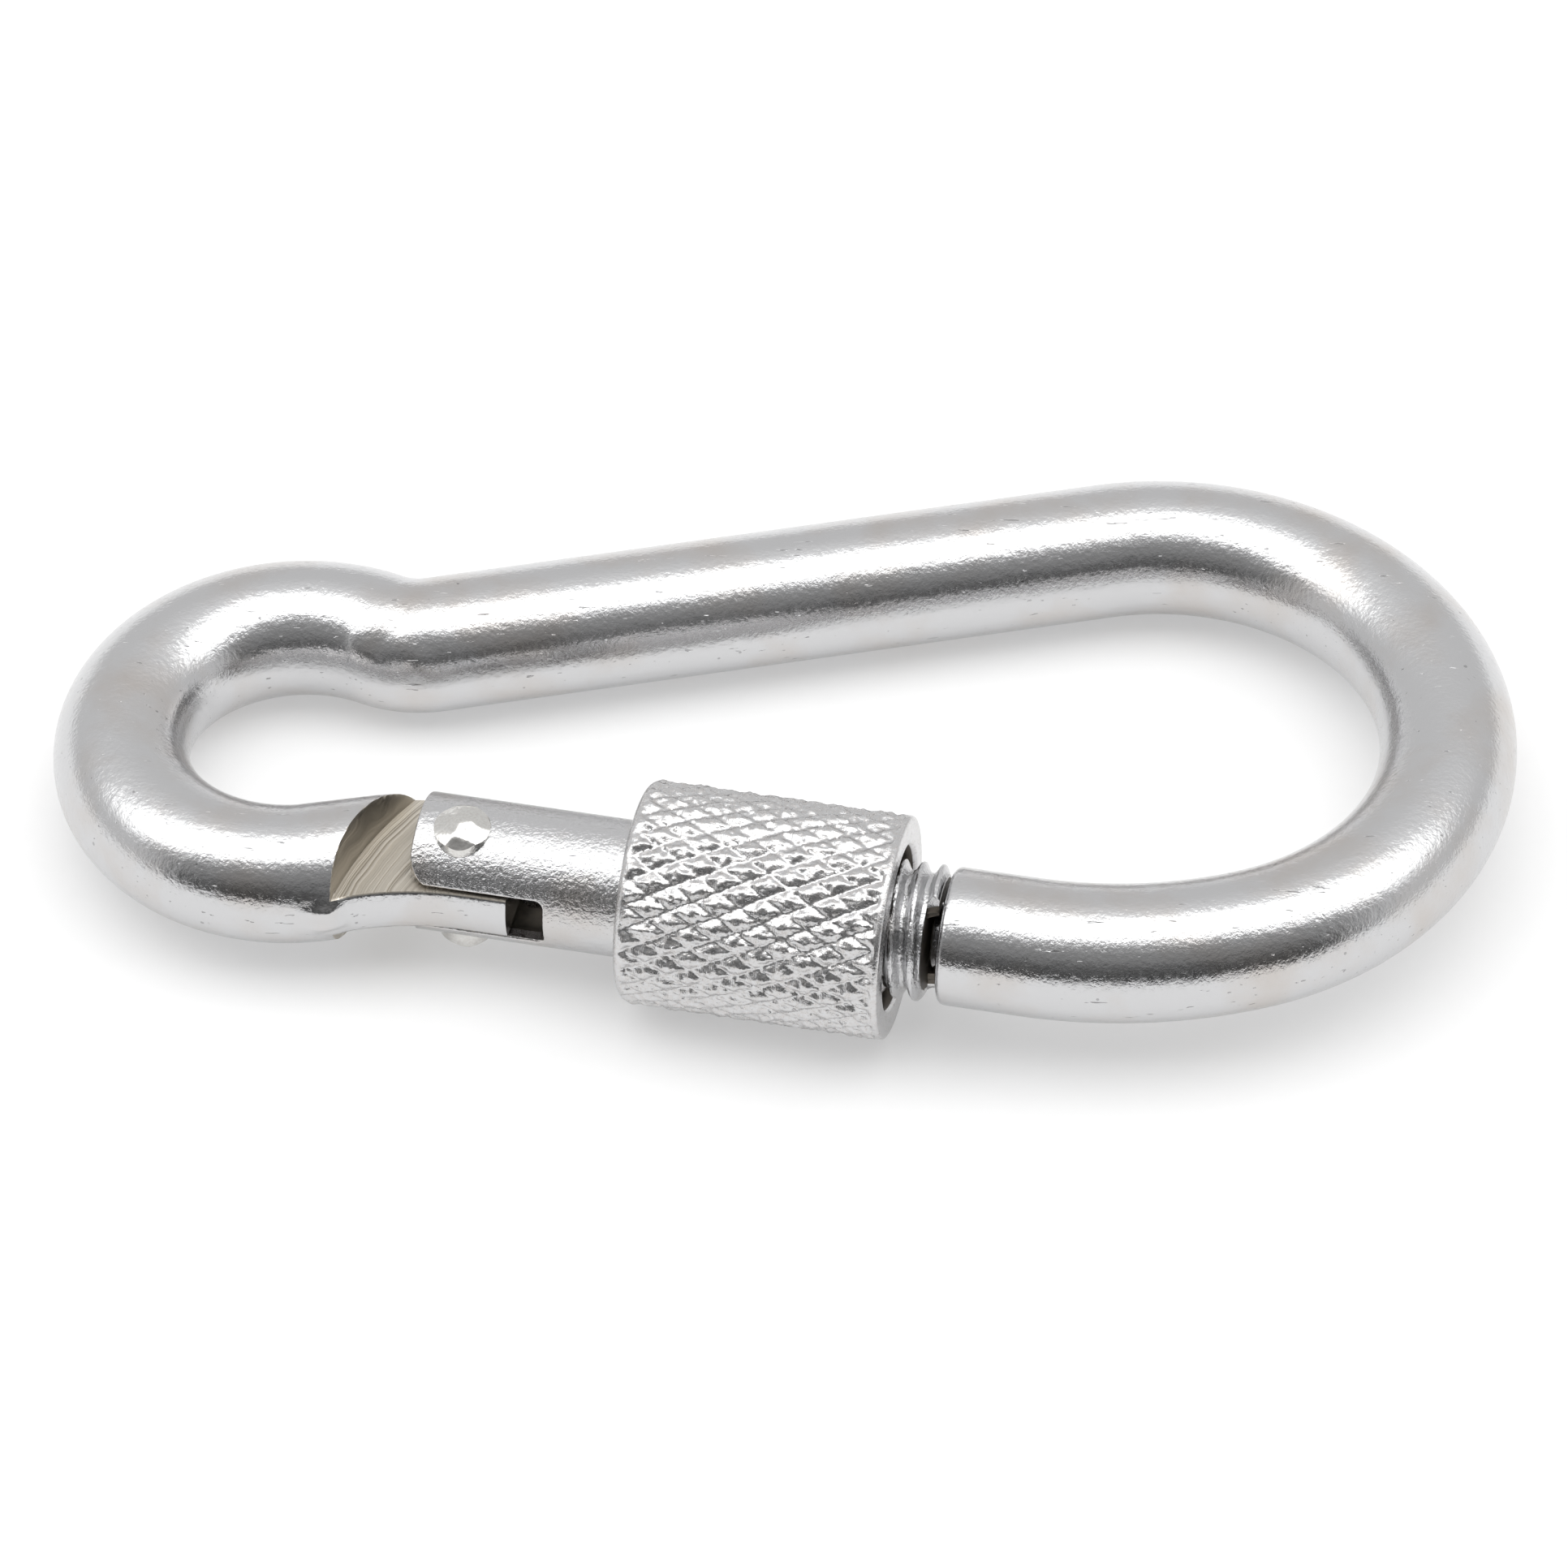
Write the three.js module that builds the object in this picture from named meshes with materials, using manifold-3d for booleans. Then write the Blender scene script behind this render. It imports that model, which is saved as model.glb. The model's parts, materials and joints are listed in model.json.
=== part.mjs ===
// A stainless steel screw-lock snap hook: a round bar bent into a pear shape, a sprung gate
// riveted to the bar's milled tongue, and a knurled sleeve that screws up to the nose.
// Millimetres. The hook lies in the XY plane with X along its long axis, from the small loop
// to the large end; Z is the hinge pin's direction. The origin is the middle of its box.
import * as THREE from "three";
import { mergeVertices } from "three/addons/utils/BufferGeometryUtils.js";
import Module from "manifold-3d";

const wasm = await Module();
wasm.setup();

// ---- Driving dimensions: millimetres and degrees ----
// The bar, bent; radii are those of its centre line.
const overallLength = 60; // outside to outside, along the long axis
const barDiameter = 5.6;
const largeEndRadius = 11.7;
const entryRadius = 18.4; // gentle bend from the nose into the large end
const entryAngle = 28;
const smallLoopRadius = 7.2;
const neckDepth = 2.2; // how far the small loop bulges past the straight back
const neckRadius = 3.5;
const returnRadius = 13.7; // reverse bend from the small loop to the hinge
const returnAngle = 25.5;
const returnReach = 0.45; // end of that bend, past the hinge pin

// The nose: the bar's free end, which the gate closes on.
const noseLength = 3.3; // straight bar behind the shoulder
const shoulderChamfer = 0.3;
const latchLength = 0.45; // the small dovetail stud on the shoulder
const latchNeckRadius = 1;
const latchHeadRadius = 1.35;

// The hinge: a tongue milled on the bar's other end, between the gate's ears.
const pinRadius = 0.8;
const pinOffset = 0.6; // the pin stands outside the gate's centre line
const tongueThickness = 2;
const tongueReach = 2.2; // past the pin
const tongueCorner = 1.2;
const millX = 11.6; // what the milled step is swung round
const millY = -5.6;
const millFootRadius = 16.4;
const millTopRadius = 16.65;
const headRadius = 1.15; // the rivet's domed heads
const headHeight = 0.45;
const headEdge = 0.15; // upright edge below a head's dome

// The gate: a bar bored from the hinge end, slotted for the tongue.
const gateWall = 0.5;
const earReach = 1.9; // from the pin to the ears' ends
const earCorner = 0.8;
const slotReach = 3.7; // from the pin to the slot's end
const solidEnd = 2.6; // left solid beyond the bore
const lapLength = 0.45; // the half-ring that laps the latch stud
const lapEdge = 0.7; // the half-ring starts this far outside the centre line
const threadPitch = 0.8;
const threadDepth = 0.4;

// The lock sleeve, drawn at its unscrewed stop. It screws forward over the shoulder by its
// mouth's depth, where its thread meets the shoulder.
const sleeveGap = 1.95; // from its front face to the shoulder
const sleeveWall = 1.75; // over the gate's thread
const sleeveEdge = 0.5; // rounded rear edge
const sleeveEdgeBevel = 0.15; // where that edge's two flats meet
const rimChamfer = 0.15;
const mouthStep = 0.45; // the plain mouth is wider than the thread by this
const mouthDepth = 1.2;
const sleeveStandOff = 3.25; // from the slot's end to the sleeve's rear face

// The push pin and its spring, inside the gate.
const tipRadius = 1.3;
const tipLength = 1.6;
const tipChamfer = 0.4;
const collarLength = 0.9;
const stemRadius = 0.9;
const stemLength = 0.9;
const wireDiameter = 0.45;
const springPitch = 1.25;

// Clearances.
const slotClearance = 0.15; // tongue to each ear
const pinClearance = 0.08; // rivet to its holes
const headClearance = 0.06; // rivet head to the gate's outside
const shoulderClearance = 0.2; // gate's end to the nose's shoulder
const latchClearance = 0.25; // latch stud to its pocket
const sleeveClearance = 0.1; // sleeve to the gate's outside
const collarClearance = 0.1; // push pin's collar to the bore
const springClearance = 0.15; // wire to the bore, the collar and the bore's end
const tipClearance = 0.15; // push pin to the tongue's end

// Facets.
const barSides = 20;
const barStep = 1.5; // along the bar
const turnedSides = 32; // round a turned piece
const sleeveSides = 48;
const millSides = 128;
const pushPinSides = 24;
const cornerSteps = 8; // round a rounded corner
const domeSteps = 4;
const wireSides = 6;
const wireSteps = 12; // to a turn of the spring

// ---- Colours and finishes ----
const finishes = {
  tumbledSteel: { color: 0xc9c8c4, roughness: 0.32, metalness: 1 },
  turnedSteel: { color: 0xcfcecb, roughness: 0.24, metalness: 1 },
  rivetSteel: { color: 0xd6d5d2, roughness: 0.2, metalness: 1 },
  springSteel: { color: 0x8f8f8e, roughness: 0.35, metalness: 1 },
};

// ---- Derived sizes ----
// The gate's own frame has the hinge pin's foot at x = 0 and the gate's centre line on y = 0;
// the inside of the hook is towards +y.
const rad = THREE.MathUtils.degToRad;
const barRadius = barDiameter / 2;
const pinY = -pinOffset;
const slotHalf = tongueThickness / 2 + slotClearance;
const past = 1; // how far a cutter runs past the face it leaves

const barLine = bentBar();
const shoulderX = barLine.bendStart.x - noseLength;
const gateEnd = shoulderX - shoulderClearance;
const gateBore = barRadius - gateWall;
const boreEnd = gateEnd - lapLength - solidEnd;
const sleeveBore = barRadius + sleeveClearance;
const sleeveRadius = barRadius + sleeveWall;
const sleeveFront = shoulderX - sleeveGap;
const sleeveRear = slotReach + sleeveStandOff;
const collarRadius = gateBore - collarClearance;
const tipX = tongueReach + tipClearance;
const collarX = tipX + tipLength;
const stemX = collarX + collarLength;

// ---- Solids: closed three.js geometries in and out of the boolean library ----
function solid(geometry) {
  const bare = geometry.index ? geometry.toNonIndexed() : geometry.clone();
  bare.deleteAttribute("normal");
  bare.deleteAttribute("uv");
  const merged = mergeVertices(bare, 1e-4);
  const vertProperties = merged.attributes.position.array;
  const triVerts = new Uint32Array(merged.index.array);
  return new wasm.Manifold(new wasm.Mesh({ numProp: 3, vertProperties, triVerts }));
}

function geometryOf(manifold) {
  const { vertProperties, triVerts } = manifold.getMesh();
  const geometry = new THREE.BufferGeometry();
  geometry.setAttribute("position", new THREE.BufferAttribute(vertProperties, 3));
  geometry.setIndex(new THREE.BufferAttribute(triVerts, 1));
  geometry.computeVertexNormals();
  return geometry;
}

const spot = (radius, along) => new THREE.Vector2(radius, along);

// A profile of (radius, distance along the axis) turned round the X axis.
function turnedAlongX(profile, sides = turnedSides) {
  return new THREE.LatheGeometry(profile, sides).rotateZ(-Math.PI / 2);
}

// The same, turned round the hinge pin's axis, which is along Z.
function turnedAlongPin(profile, sides = turnedSides) {
  return new THREE.LatheGeometry(profile, sides)
    .rotateX(Math.PI / 2)
    .translate(0, pinY, 0);
}

// A round bar's or wire's section, as a polygon.
function roundSection(radius, sides) {
  const corners = [];
  for (let side = 0; side < sides; side++) {
    const angle = (2 * Math.PI * (side + 0.5)) / sides;
    corners.push(spot(radius * Math.cos(angle), radius * Math.sin(angle)));
  }
  return new THREE.Shape(corners);
}

// A plain cylinder along X, as a cutter.
function rodAlongX(radius, from, to) {
  return solid(turnedAlongX([spot(0, from), spot(radius, from), spot(radius, to), spot(0, to)]));
}

// A box from its lowest corner to its highest, as a cutter.
function block(low, high) {
  const size = high.map((value, axis) => value - low[axis]);
  const middle = high.map((value, axis) => (value + low[axis]) / 2);
  return solid(new THREE.BoxGeometry(...size).translate(...middle));
}

// ---- The hook body ----
// An arc in the XY plane, from one angle through a signed sweep.
class Arc extends THREE.Curve {
  constructor(centre, radius, start, sweep) {
    super();
    Object.assign(this, { centre, radius, start, sweep });
  }
  getPoint(t, target = new THREE.Vector3()) {
    const angle = this.start + t * this.sweep;
    const x = this.centre.x + this.radius * Math.cos(angle);
    const y = this.centre.y + this.radius * Math.sin(angle);
    return target.set(x, y, 0);
  }
}

// Where each bend of the bar is centred, and the angles at which one bend meets the next.
// The nose's straight is on y = 0. The straight back touches the large end's circle and
// passes inside the small loop's, and the neck's reverse bend joins the two.
function bentBar() {
  const entry = rad(entryAngle);
  const turnBack = rad(returnAngle);
  const smallY = smallLoopRadius * Math.cos(turnBack) - returnRadius * (1 - Math.cos(turnBack));
  const smallX = returnReach - (returnRadius + smallLoopRadius) * Math.sin(turnBack);
  const small = new THREE.Vector2(smallX, smallY);
  const largeY = entryRadius - (entryRadius - largeEndRadius) * Math.cos(entry);
  const between = overallLength - largeEndRadius - smallLoopRadius - barDiameter;
  const rise = largeY - smallY;
  const large = new THREE.Vector2(smallX + Math.sqrt(between ** 2 - rise ** 2), largeY);
  const bendX = large.x - (entryRadius - largeEndRadius) * Math.sin(entry);
  const bendStart = new THREE.Vector2(bendX, 0);

  // The back's outward direction, and how far the neck's centre is along the back.
  const tilt = Math.atan2(rise, large.x - small.x);
  const inset = smallLoopRadius - neckDepth;
  const outward = Math.PI + tilt - Math.acos((largeEndRadius - inset) / between);
  const away = new THREE.Vector2(Math.cos(outward), Math.sin(outward));
  const along = new THREE.Vector2(-away.y, away.x);
  const reach = smallLoopRadius + neckRadius;
  const run = Math.sqrt(reach ** 2 - (inset + neckRadius) ** 2);
  const foot = small.clone().addScaledVector(along, -run);
  const neck = foot.clone().addScaledVector(away, inset + neckRadius);
  const backStart = large.clone().addScaledVector(away, largeEndRadius);
  const backEnd = foot.clone().addScaledVector(away, inset);
  const neckTurn = Math.asin(run / reach);
  return { entry, turnBack, small, large, bendStart, tilt, outward, neck, neckTurn, backStart, backEnd };
}

function barCentreLine() {
  const { entry, turnBack, small, large, bendStart, outward, neck, neckTurn } = barLine;
  const { backStart, backEnd } = barLine;
  const level = (x, y = 0) => new THREE.Vector3(x, y, 0);
  const line = new THREE.CurvePath();
  const down = -Math.PI / 2;
  line.add(new THREE.LineCurve3(level(shoulderX + shoulderChamfer), level(bendStart.x)));
  line.add(new Arc({ x: bendStart.x, y: entryRadius }, entryRadius, down, entry));
  line.add(new Arc(large, largeEndRadius, down + entry, outward - down - entry));
  line.add(new THREE.LineCurve3(level(backStart.x, backStart.y), level(backEnd.x, backEnd.y)));
  line.add(new Arc(neck, neckRadius, outward - Math.PI, -neckTurn));
  const loopStart = outward - neckTurn;
  const loopEnd = down + turnBack + 2 * Math.PI;
  line.add(new Arc(small, smallLoopRadius, loopStart, loopEnd - loopStart));
  const reverse = { x: returnReach, y: -returnRadius };
  line.add(new Arc(reverse, returnRadius, Math.PI / 2 + turnBack, -turnBack));
  line.add(new THREE.LineCurve3(level(returnReach), level(tongueReach)));
  return line;
}

function bentRound() {
  const extrudePath = barCentreLine();
  const steps = Math.round(extrudePath.getLength() / barStep);
  const options = { extrudePath, steps, bevelEnabled: false };
  return solid(new THREE.ExtrudeGeometry(roundSection(barRadius, barSides), options));
}

// The chamfered shoulder with its dovetail latch stud.
function noseEnd() {
  const profile = [
    spot(0, shoulderX - latchLength),
    spot(latchHeadRadius, shoulderX - latchLength),
    spot(latchNeckRadius, shoulderX),
    spot(barRadius - shoulderChamfer, shoulderX),
    spot(barRadius, shoulderX + shoulderChamfer),
    spot(barRadius, shoulderX + noseLength / 2),
    spot(0, shoulderX + noseLength / 2),
  ];
  return solid(turnedAlongX(profile, barSides));
}

// Milling above the tongue, as far as the bar's own end; the same below it.
function tongueMill() {
  const low = tongueThickness / 2;
  const high = barRadius + past;
  const profile = [spot(0, low), spot(millFootRadius, low), spot(millTopRadius, barRadius)];
  profile.push(spot(millTopRadius, high), spot(0, high));
  const sweep = turnedAlongPin(profile, millSides).translate(millX, millY - pinY, 0);
  const corner = [millX - millTopRadius - past, -barDiameter, 0];
  const hingeEnd = block(corner, [tongueReach + past, barDiameter, high]);
  return solid(sweep).intersect(hingeEnd);
}

// Rounds the tongue's inner corner, which pushes the push pin as the gate opens.
function tongueCornerCutter() {
  const corner = new THREE.Shape();
  const x = tongueReach - tongueCorner;
  const y = barRadius - tongueCorner;
  corner.moveTo(x, barRadius);
  corner.absarc(x, y, tongueCorner, Math.PI / 2, 0, true);
  corner.lineTo(tongueReach + past, y);
  corner.lineTo(tongueReach + past, barRadius + past);
  corner.lineTo(x, barRadius + past);
  const depth = tongueThickness + 2 * past;
  const options = { depth, bevelEnabled: false, curveSegments: cornerSteps };
  return solid(new THREE.ExtrudeGeometry(corner, options).translate(0, 0, -depth / 2));
}

function hingeHole() {
  const radius = pinRadius + pinClearance;
  const half = barRadius + past;
  return solid(turnedAlongPin([spot(0, -half), spot(radius, -half), spot(radius, half), spot(0, half)]));
}

function hookBody() {
  const mill = tongueMill();
  return bentRound()
    .add(noseEnd())
    .subtract(mill)
    .subtract(mill.mirror([0, 0, 1]))
    .subtract(tongueCornerCutter())
    .subtract(hingeHole());
}

// ---- The gate ----
// The turned blank: blind bore, ears' end, and the thread drawn as rings of its pitch.
function gateBlank() {
  const root = barRadius - threadDepth;
  const profile = [spot(0, boreEnd), spot(gateBore, boreEnd), spot(gateBore, -earReach)];
  profile.push(spot(barRadius, -earReach));
  const threaded = gateEnd - sleeveRear - sleeveEdge;
  const rings = Math.floor(threaded / threadPitch);
  for (let ring = rings; ring > 0; ring--) {
    const from = gateEnd - ring * threadPitch;
    profile.push(spot(barRadius, from), spot(root, from + threadPitch / 2));
  }
  profile.push(spot(barRadius, gateEnd), spot(0, gateEnd));
  return solid(turnedAlongX(profile));
}

// A prism of the gate's outline seen along the pin, with the ears' corners rounded.
function earOutline() {
  const left = -earReach;
  const half = Math.sqrt(barRadius ** 2 - slotHalf ** 2); // the slot's edge on the round
  const outline = new THREE.Shape();
  outline.moveTo(gateEnd + past, -half - past);
  outline.lineTo(left + earCorner, -half - past);
  outline.lineTo(left + earCorner, -half);
  outline.absarc(left + earCorner, earCorner - half, earCorner, -Math.PI / 2, -Math.PI, true);
  outline.absarc(left + earCorner, half - earCorner, earCorner, Math.PI, Math.PI / 2, true);
  outline.lineTo(left + earCorner, half + past);
  outline.lineTo(gateEnd + past, half + past);
  const depth = barDiameter + 2 * past;
  const options = { depth, bevelEnabled: false, curveSegments: cornerSteps };
  return solid(new THREE.ExtrudeGeometry(outline, options).translate(0, 0, -depth / 2));
}

// The end's outer half is cut back, and its inner half has a pocket for the latch stud.
function lapCutters() {
  const half = barRadius + past;
  const face = gateEnd - lapLength;
  const pocket = latchHeadRadius + latchClearance;
  const outerHalf = block([face, -half, -half], [gateEnd + past, -lapEdge, half]);
  const mouth = block([face, -half, -pocket], [gateEnd + past, 0, pocket]);
  return outerHalf.add(mouth).add(rodAlongX(pocket, face, gateEnd + past));
}

function gate() {
  const half = barRadius + past;
  const slot = block([-earReach - past, -half, -slotHalf], [slotReach, half, slotHalf]);
  return gateBlank()
    .intersect(earOutline())
    .subtract(slot)
    .subtract(hingeHole())
    .subtract(lapCutters());
}

// ---- The hinge rivet: a pin peened over into a dome at both ends ----
function rivet() {
  const top = barRadius + headHeight;
  const edge = barRadius + headEdge;
  const end = (edge + top) / 2; // the pin's ends are inside the heads
  const dome = [spot(0, 0), spot(headRadius, 0)];
  for (let step = 0; step <= domeSteps; step++) {
    const angle = (Math.PI / 2) * (step / domeSteps);
    dome.push(spot(headRadius * Math.cos(angle), edge + (top - edge) * Math.sin(angle)));
  }
  const head = solid(turnedAlongPin(dome));
  const gateOutside = rodAlongX(barRadius + headClearance, -earReach - past, slotReach + past);
  const pin = [spot(0, -end), spot(pinRadius, -end), spot(pinRadius, end), spot(0, end)];
  return head
    .add(head.mirror([0, 0, 1]))
    .subtract(gateOutside)
    .add(solid(turnedAlongPin(pin)));
}

// ---- The lock sleeve: rounded rear edge, threaded bore, plain mouth at the front ----
function lockSleeve() {
  const mouth = sleeveBore + mouthStep;
  const profile = [
    spot(sleeveBore, sleeveRear),
    spot(sleeveRadius - sleeveEdge, sleeveRear),
    spot(sleeveRadius - sleeveEdgeBevel, sleeveRear + sleeveEdgeBevel),
    spot(sleeveRadius, sleeveRear + sleeveEdge),
    spot(sleeveRadius, sleeveFront - rimChamfer),
    spot(sleeveRadius - rimChamfer, sleeveFront),
    spot(mouth + rimChamfer, sleeveFront),
    spot(mouth, sleeveFront - rimChamfer),
    spot(mouth, sleeveFront - mouthDepth),
    spot(sleeveBore, sleeveFront - mouthDepth - mouthStep),
    spot(sleeveBore, sleeveRear),
  ];
  return solid(turnedAlongX(profile, sleeveSides));
}

// ---- The push pin: a tip on the tongue's end, a collar in the bore, a stem in the spring ----
function pushPin() {
  const back = stemX + stemLength;
  const profile = [
    spot(0, tipX),
    spot(tipRadius - tipChamfer, tipX),
    spot(tipRadius, tipX + tipChamfer),
    spot(tipRadius, collarX),
    spot(collarRadius, collarX),
    spot(collarRadius, stemX),
    spot(stemRadius, stemX),
    spot(stemRadius, back),
    spot(0, back),
  ];
  return solid(turnedAlongX(profile, pushPinSides));
}

// ---- The gate spring: a helix of round wire from the collar to the bore's end ----
class Helix extends THREE.Curve {
  constructor(radius, from, to, turns) {
    super();
    Object.assign(this, { radius, from, to, turns });
  }
  getPoint(t, target = new THREE.Vector3()) {
    const angle = 2 * Math.PI * this.turns * t;
    const x = this.from + (this.to - this.from) * t;
    return target.set(x, this.radius * Math.cos(angle), this.radius * Math.sin(angle));
  }
}

function gateSpring() {
  const wire = wireDiameter / 2;
  const end = springClearance + wire;
  const from = stemX + end;
  const to = boreEnd - end;
  const turns = Math.max(2, Math.round((to - from) / springPitch));
  const extrudePath = new Helix(gateBore - springClearance - wire, from, to, turns);
  const options = { extrudePath, steps: turns * wireSteps, bevelEnabled: false };
  return solid(new THREE.ExtrudeGeometry(roundSection(wire, wireSides), options));
}

// ---- The assembly, turned so that its long axis is X and moved to the middle of its box ----
const assembly = new THREE.Group();
function place(name, manifold, finish) {
  const mesh = new THREE.Mesh(geometryOf(manifold), new THREE.MeshStandardMaterial(finishes[finish]));
  mesh.name = name;
  assembly.add(mesh);
}
place("hook_body", hookBody(), "tumbledSteel");
place("gate", gate(), "tumbledSteel");
place("hinge_rivet", rivet(), "rivetSteel");
place("lock_sleeve", lockSleeve(), "turnedSteel");
place("push_pin", pushPin(), "turnedSteel");
place("gate_spring", gateSpring(), "springSteel");
assembly.rotation.z = -barLine.tilt;

const hook = new THREE.Group();
hook.add(assembly);
hook.updateMatrixWorld(true);
assembly.position.sub(new THREE.Box3().setFromObject(assembly, true).getCenter(new THREE.Vector3()));

export default hook;
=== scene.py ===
"""A stainless steel screw-lock snap hook: its bent bar, slotted gate, knurled lock sleeve,
peened hinge rivet, push pin and spring, as surfaces worked out from a few sizes."""

import json
import math

import bmesh
import bpy
import numpy as np
from mathutils import Matrix


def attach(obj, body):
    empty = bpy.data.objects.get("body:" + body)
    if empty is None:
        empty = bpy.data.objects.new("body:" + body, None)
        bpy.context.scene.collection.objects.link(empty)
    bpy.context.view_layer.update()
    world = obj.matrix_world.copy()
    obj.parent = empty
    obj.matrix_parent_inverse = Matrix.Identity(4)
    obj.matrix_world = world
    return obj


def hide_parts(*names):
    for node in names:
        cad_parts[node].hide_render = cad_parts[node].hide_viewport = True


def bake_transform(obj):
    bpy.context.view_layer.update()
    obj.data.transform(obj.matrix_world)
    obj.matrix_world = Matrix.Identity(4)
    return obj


bl_info = {
    "name": "Screw-lock snap hook",
    "version": (1, 0, 0),
    "blender": (4, 5, 0),
    "location": "3D View > Sidebar > Snap hook",
    "description": "Builds the pieces of a stainless steel screw-lock snap hook",
    "category": "Add Mesh",
}

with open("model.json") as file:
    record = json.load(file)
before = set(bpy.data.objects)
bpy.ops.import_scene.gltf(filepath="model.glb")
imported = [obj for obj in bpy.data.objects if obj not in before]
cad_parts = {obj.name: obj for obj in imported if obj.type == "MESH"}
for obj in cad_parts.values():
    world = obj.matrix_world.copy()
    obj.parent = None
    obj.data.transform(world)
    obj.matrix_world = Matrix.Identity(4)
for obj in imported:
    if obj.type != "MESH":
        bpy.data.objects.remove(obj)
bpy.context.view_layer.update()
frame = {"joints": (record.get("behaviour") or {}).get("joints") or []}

MM = 0.001
TAU = 2 * math.pi
UP = np.array([0.0, 0.0, 1.0])
LATTICE = 32  # corners of the noise lattice, each way
JOIN_BELOW = 2e-7  # points closer than this, in metres, are one
SLIVER = 1e-8  # edges shorter than this, in metres, are dropped
FLOOR_REACH = 3.0  # half the floor's side, in metres
BAR_SIDES, SLEEVE_SIDES, RIVET_SIDES = 144, 400, 72  # points round each turned shape
PIN_SIDES, BORE_SIDES, WIRE_SIDES, COIL_STEPS = 96, 64, 12, 40
joints = {joint["name"]: joint for joint in frame["joints"]}
HINGE = np.array(joints["gate_hinge"]["pos_m"], float)
ALONG = np.array(joints["sleeve_screw"]["axis"], float)
ALONG /= np.linalg.norm(ALONG)
INWARD = np.cross(UP, ALONG)


# ---- Sizes and colours ----
def length(name, description, millimetres):
    """A size in millimetres as a Blender length."""
    return bpy.props.FloatProperty(
        name=name,
        description=description,
        default=millimetres * MM,
        min=0.0,
        precision=5,
        subtype="DISTANCE",
        unit="LENGTH",
    )


def angle(name, description, degrees):
    """An angle in degrees as a Blender angle."""
    return bpy.props.FloatProperty(
        name=name, description=description, default=math.radians(degrees), subtype="ANGLE"
    )


def linear(colour):
    """An sRGB hex colour as linear red, green, blue and 1."""
    shares = [int(colour[i : i + 2], 16) / 255 for i in (1, 3, 5)]
    return tuple(
        s / 12.92 if s <= 0.04045 else ((s + 0.055) / 1.055) ** 2.4 for s in shares
    ) + (1.0,)


def colour(name, description, value):
    """A colour given as sRGB hex, kept as linear values."""
    return bpy.props.FloatVectorProperty(
        name=name,
        description=description,
        default=linear(value),
        size=4,
        min=0.0,
        max=1.0,
        subtype="COLOR",
    )


class HookSizes(bpy.types.PropertyGroup):
    overall_length: length("Overall length", "Outside to outside along the hook", 60)
    bar_diameter: length("Bar diameter", "Diameter of the round bar", 5.6)
    large_end_radius: length("Large end radius", "Centre line of the large end", 11.7)
    entry_radius: length("Entry radius", "Gentle bend after the nose", 18.4)
    entry_angle: angle("Entry angle", "Turn of that bend", 28)
    small_loop_radius: length("Small loop radius", "Centre line of the small loop", 7.2)
    neck_depth: length("Neck depth", "How far the small loop bulges past the back", 2.2)
    neck_radius: length("Neck radius", "Centre line of the neck's bend", 3.5)
    return_radius: length("Return radius", "Bend from the small loop to the hinge", 13.7)
    return_angle: angle("Return angle", "Turn of that bend", 25.5)
    return_reach: length("Return reach", "End of that bend past the pin", 0.45)
    nose_length: length("Nose length", "Straight bar behind the shoulder", 3.3)
    shoulder_edge: length("Shoulder edge", "Rounding of the shoulder", 0.3)
    latch_length: length("Latch length", "Length of the latch stud", 0.45)
    latch_neck: length("Latch neck radius", "Stud at the shoulder", 1.0)
    latch_head: length("Latch head radius", "Stud at its end", 1.35)
    tongue_thickness: length("Tongue thickness", "Milled tongue in the gate's slot", 2.0)
    tongue_reach: length("Tongue reach", "Tongue past the pin", 2.2)
    tongue_corner: length("Tongue corner", "Rounding of its inner corner", 1.2)
    mill_x: length("Mill centre, along", "What the milled step is swung round", 11.6)
    mill_y: length("Mill centre, outward", "What the milled step is swung round", 5.6)
    mill_foot: length("Mill foot radius", "Foot of the milled step", 16.4)
    mill_top: length("Mill top radius", "Top of the milled step", 16.65)
    burr: length("Burr", "Height of the lump pressed out beside the milled step", 0.24)


class GateSizes(bpy.types.PropertyGroup):
    wall: length("Wall", "Tube wall of the gate", 0.5)
    pin_radius: length("Pin radius", "Hinge rivet's shank", 0.8)
    pin_clearance: length("Pin clearance", "Hinge rivet to the tongue's hole", 0.08)
    pin_offset: length("Pin offset", "Pin outside the gate's centre line", 0.6)
    head_radius: length("Rivet head radius", "Peened heads", 1.15)
    head_height: length("Rivet head height", "Peened heads above the gate", 0.45)
    ear_reach: length("Ear reach", "From the pin to the ears' ends", 1.9)
    ear_corner: length("Ear corner", "Rounding of the ears' ends", 0.8)
    slot_reach: length("Slot reach", "From the pin to the slot's end", 3.7)
    slot_corner: length("Slot corner", "Rounding in the slot's corners", 0.35)
    slot_clearance: length("Slot clearance", "Tongue to each ear", 0.15)
    edge: length("Edge", "Broken edge of the slot and the ears", 0.1)
    end_gap: length("End gap", "Gate's end to the shoulder", 0.2)
    solid_end: length("Solid end", "Solid part past the bore", 2.6)
    lap_length: length("Lap length", "Half-ring that laps the latch stud", 0.45)
    lap_edge: length("Lap edge", "Half-ring starts this far outside the centre", 0.7)
    latch_gap: length("Latch gap", "Latch stud to its pocket", 0.25)
    thread_pitch: length("Thread pitch", "Pitch of the gate's thread", 0.8)
    thread_depth: length("Thread depth", "Crest to root", 0.4)


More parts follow.
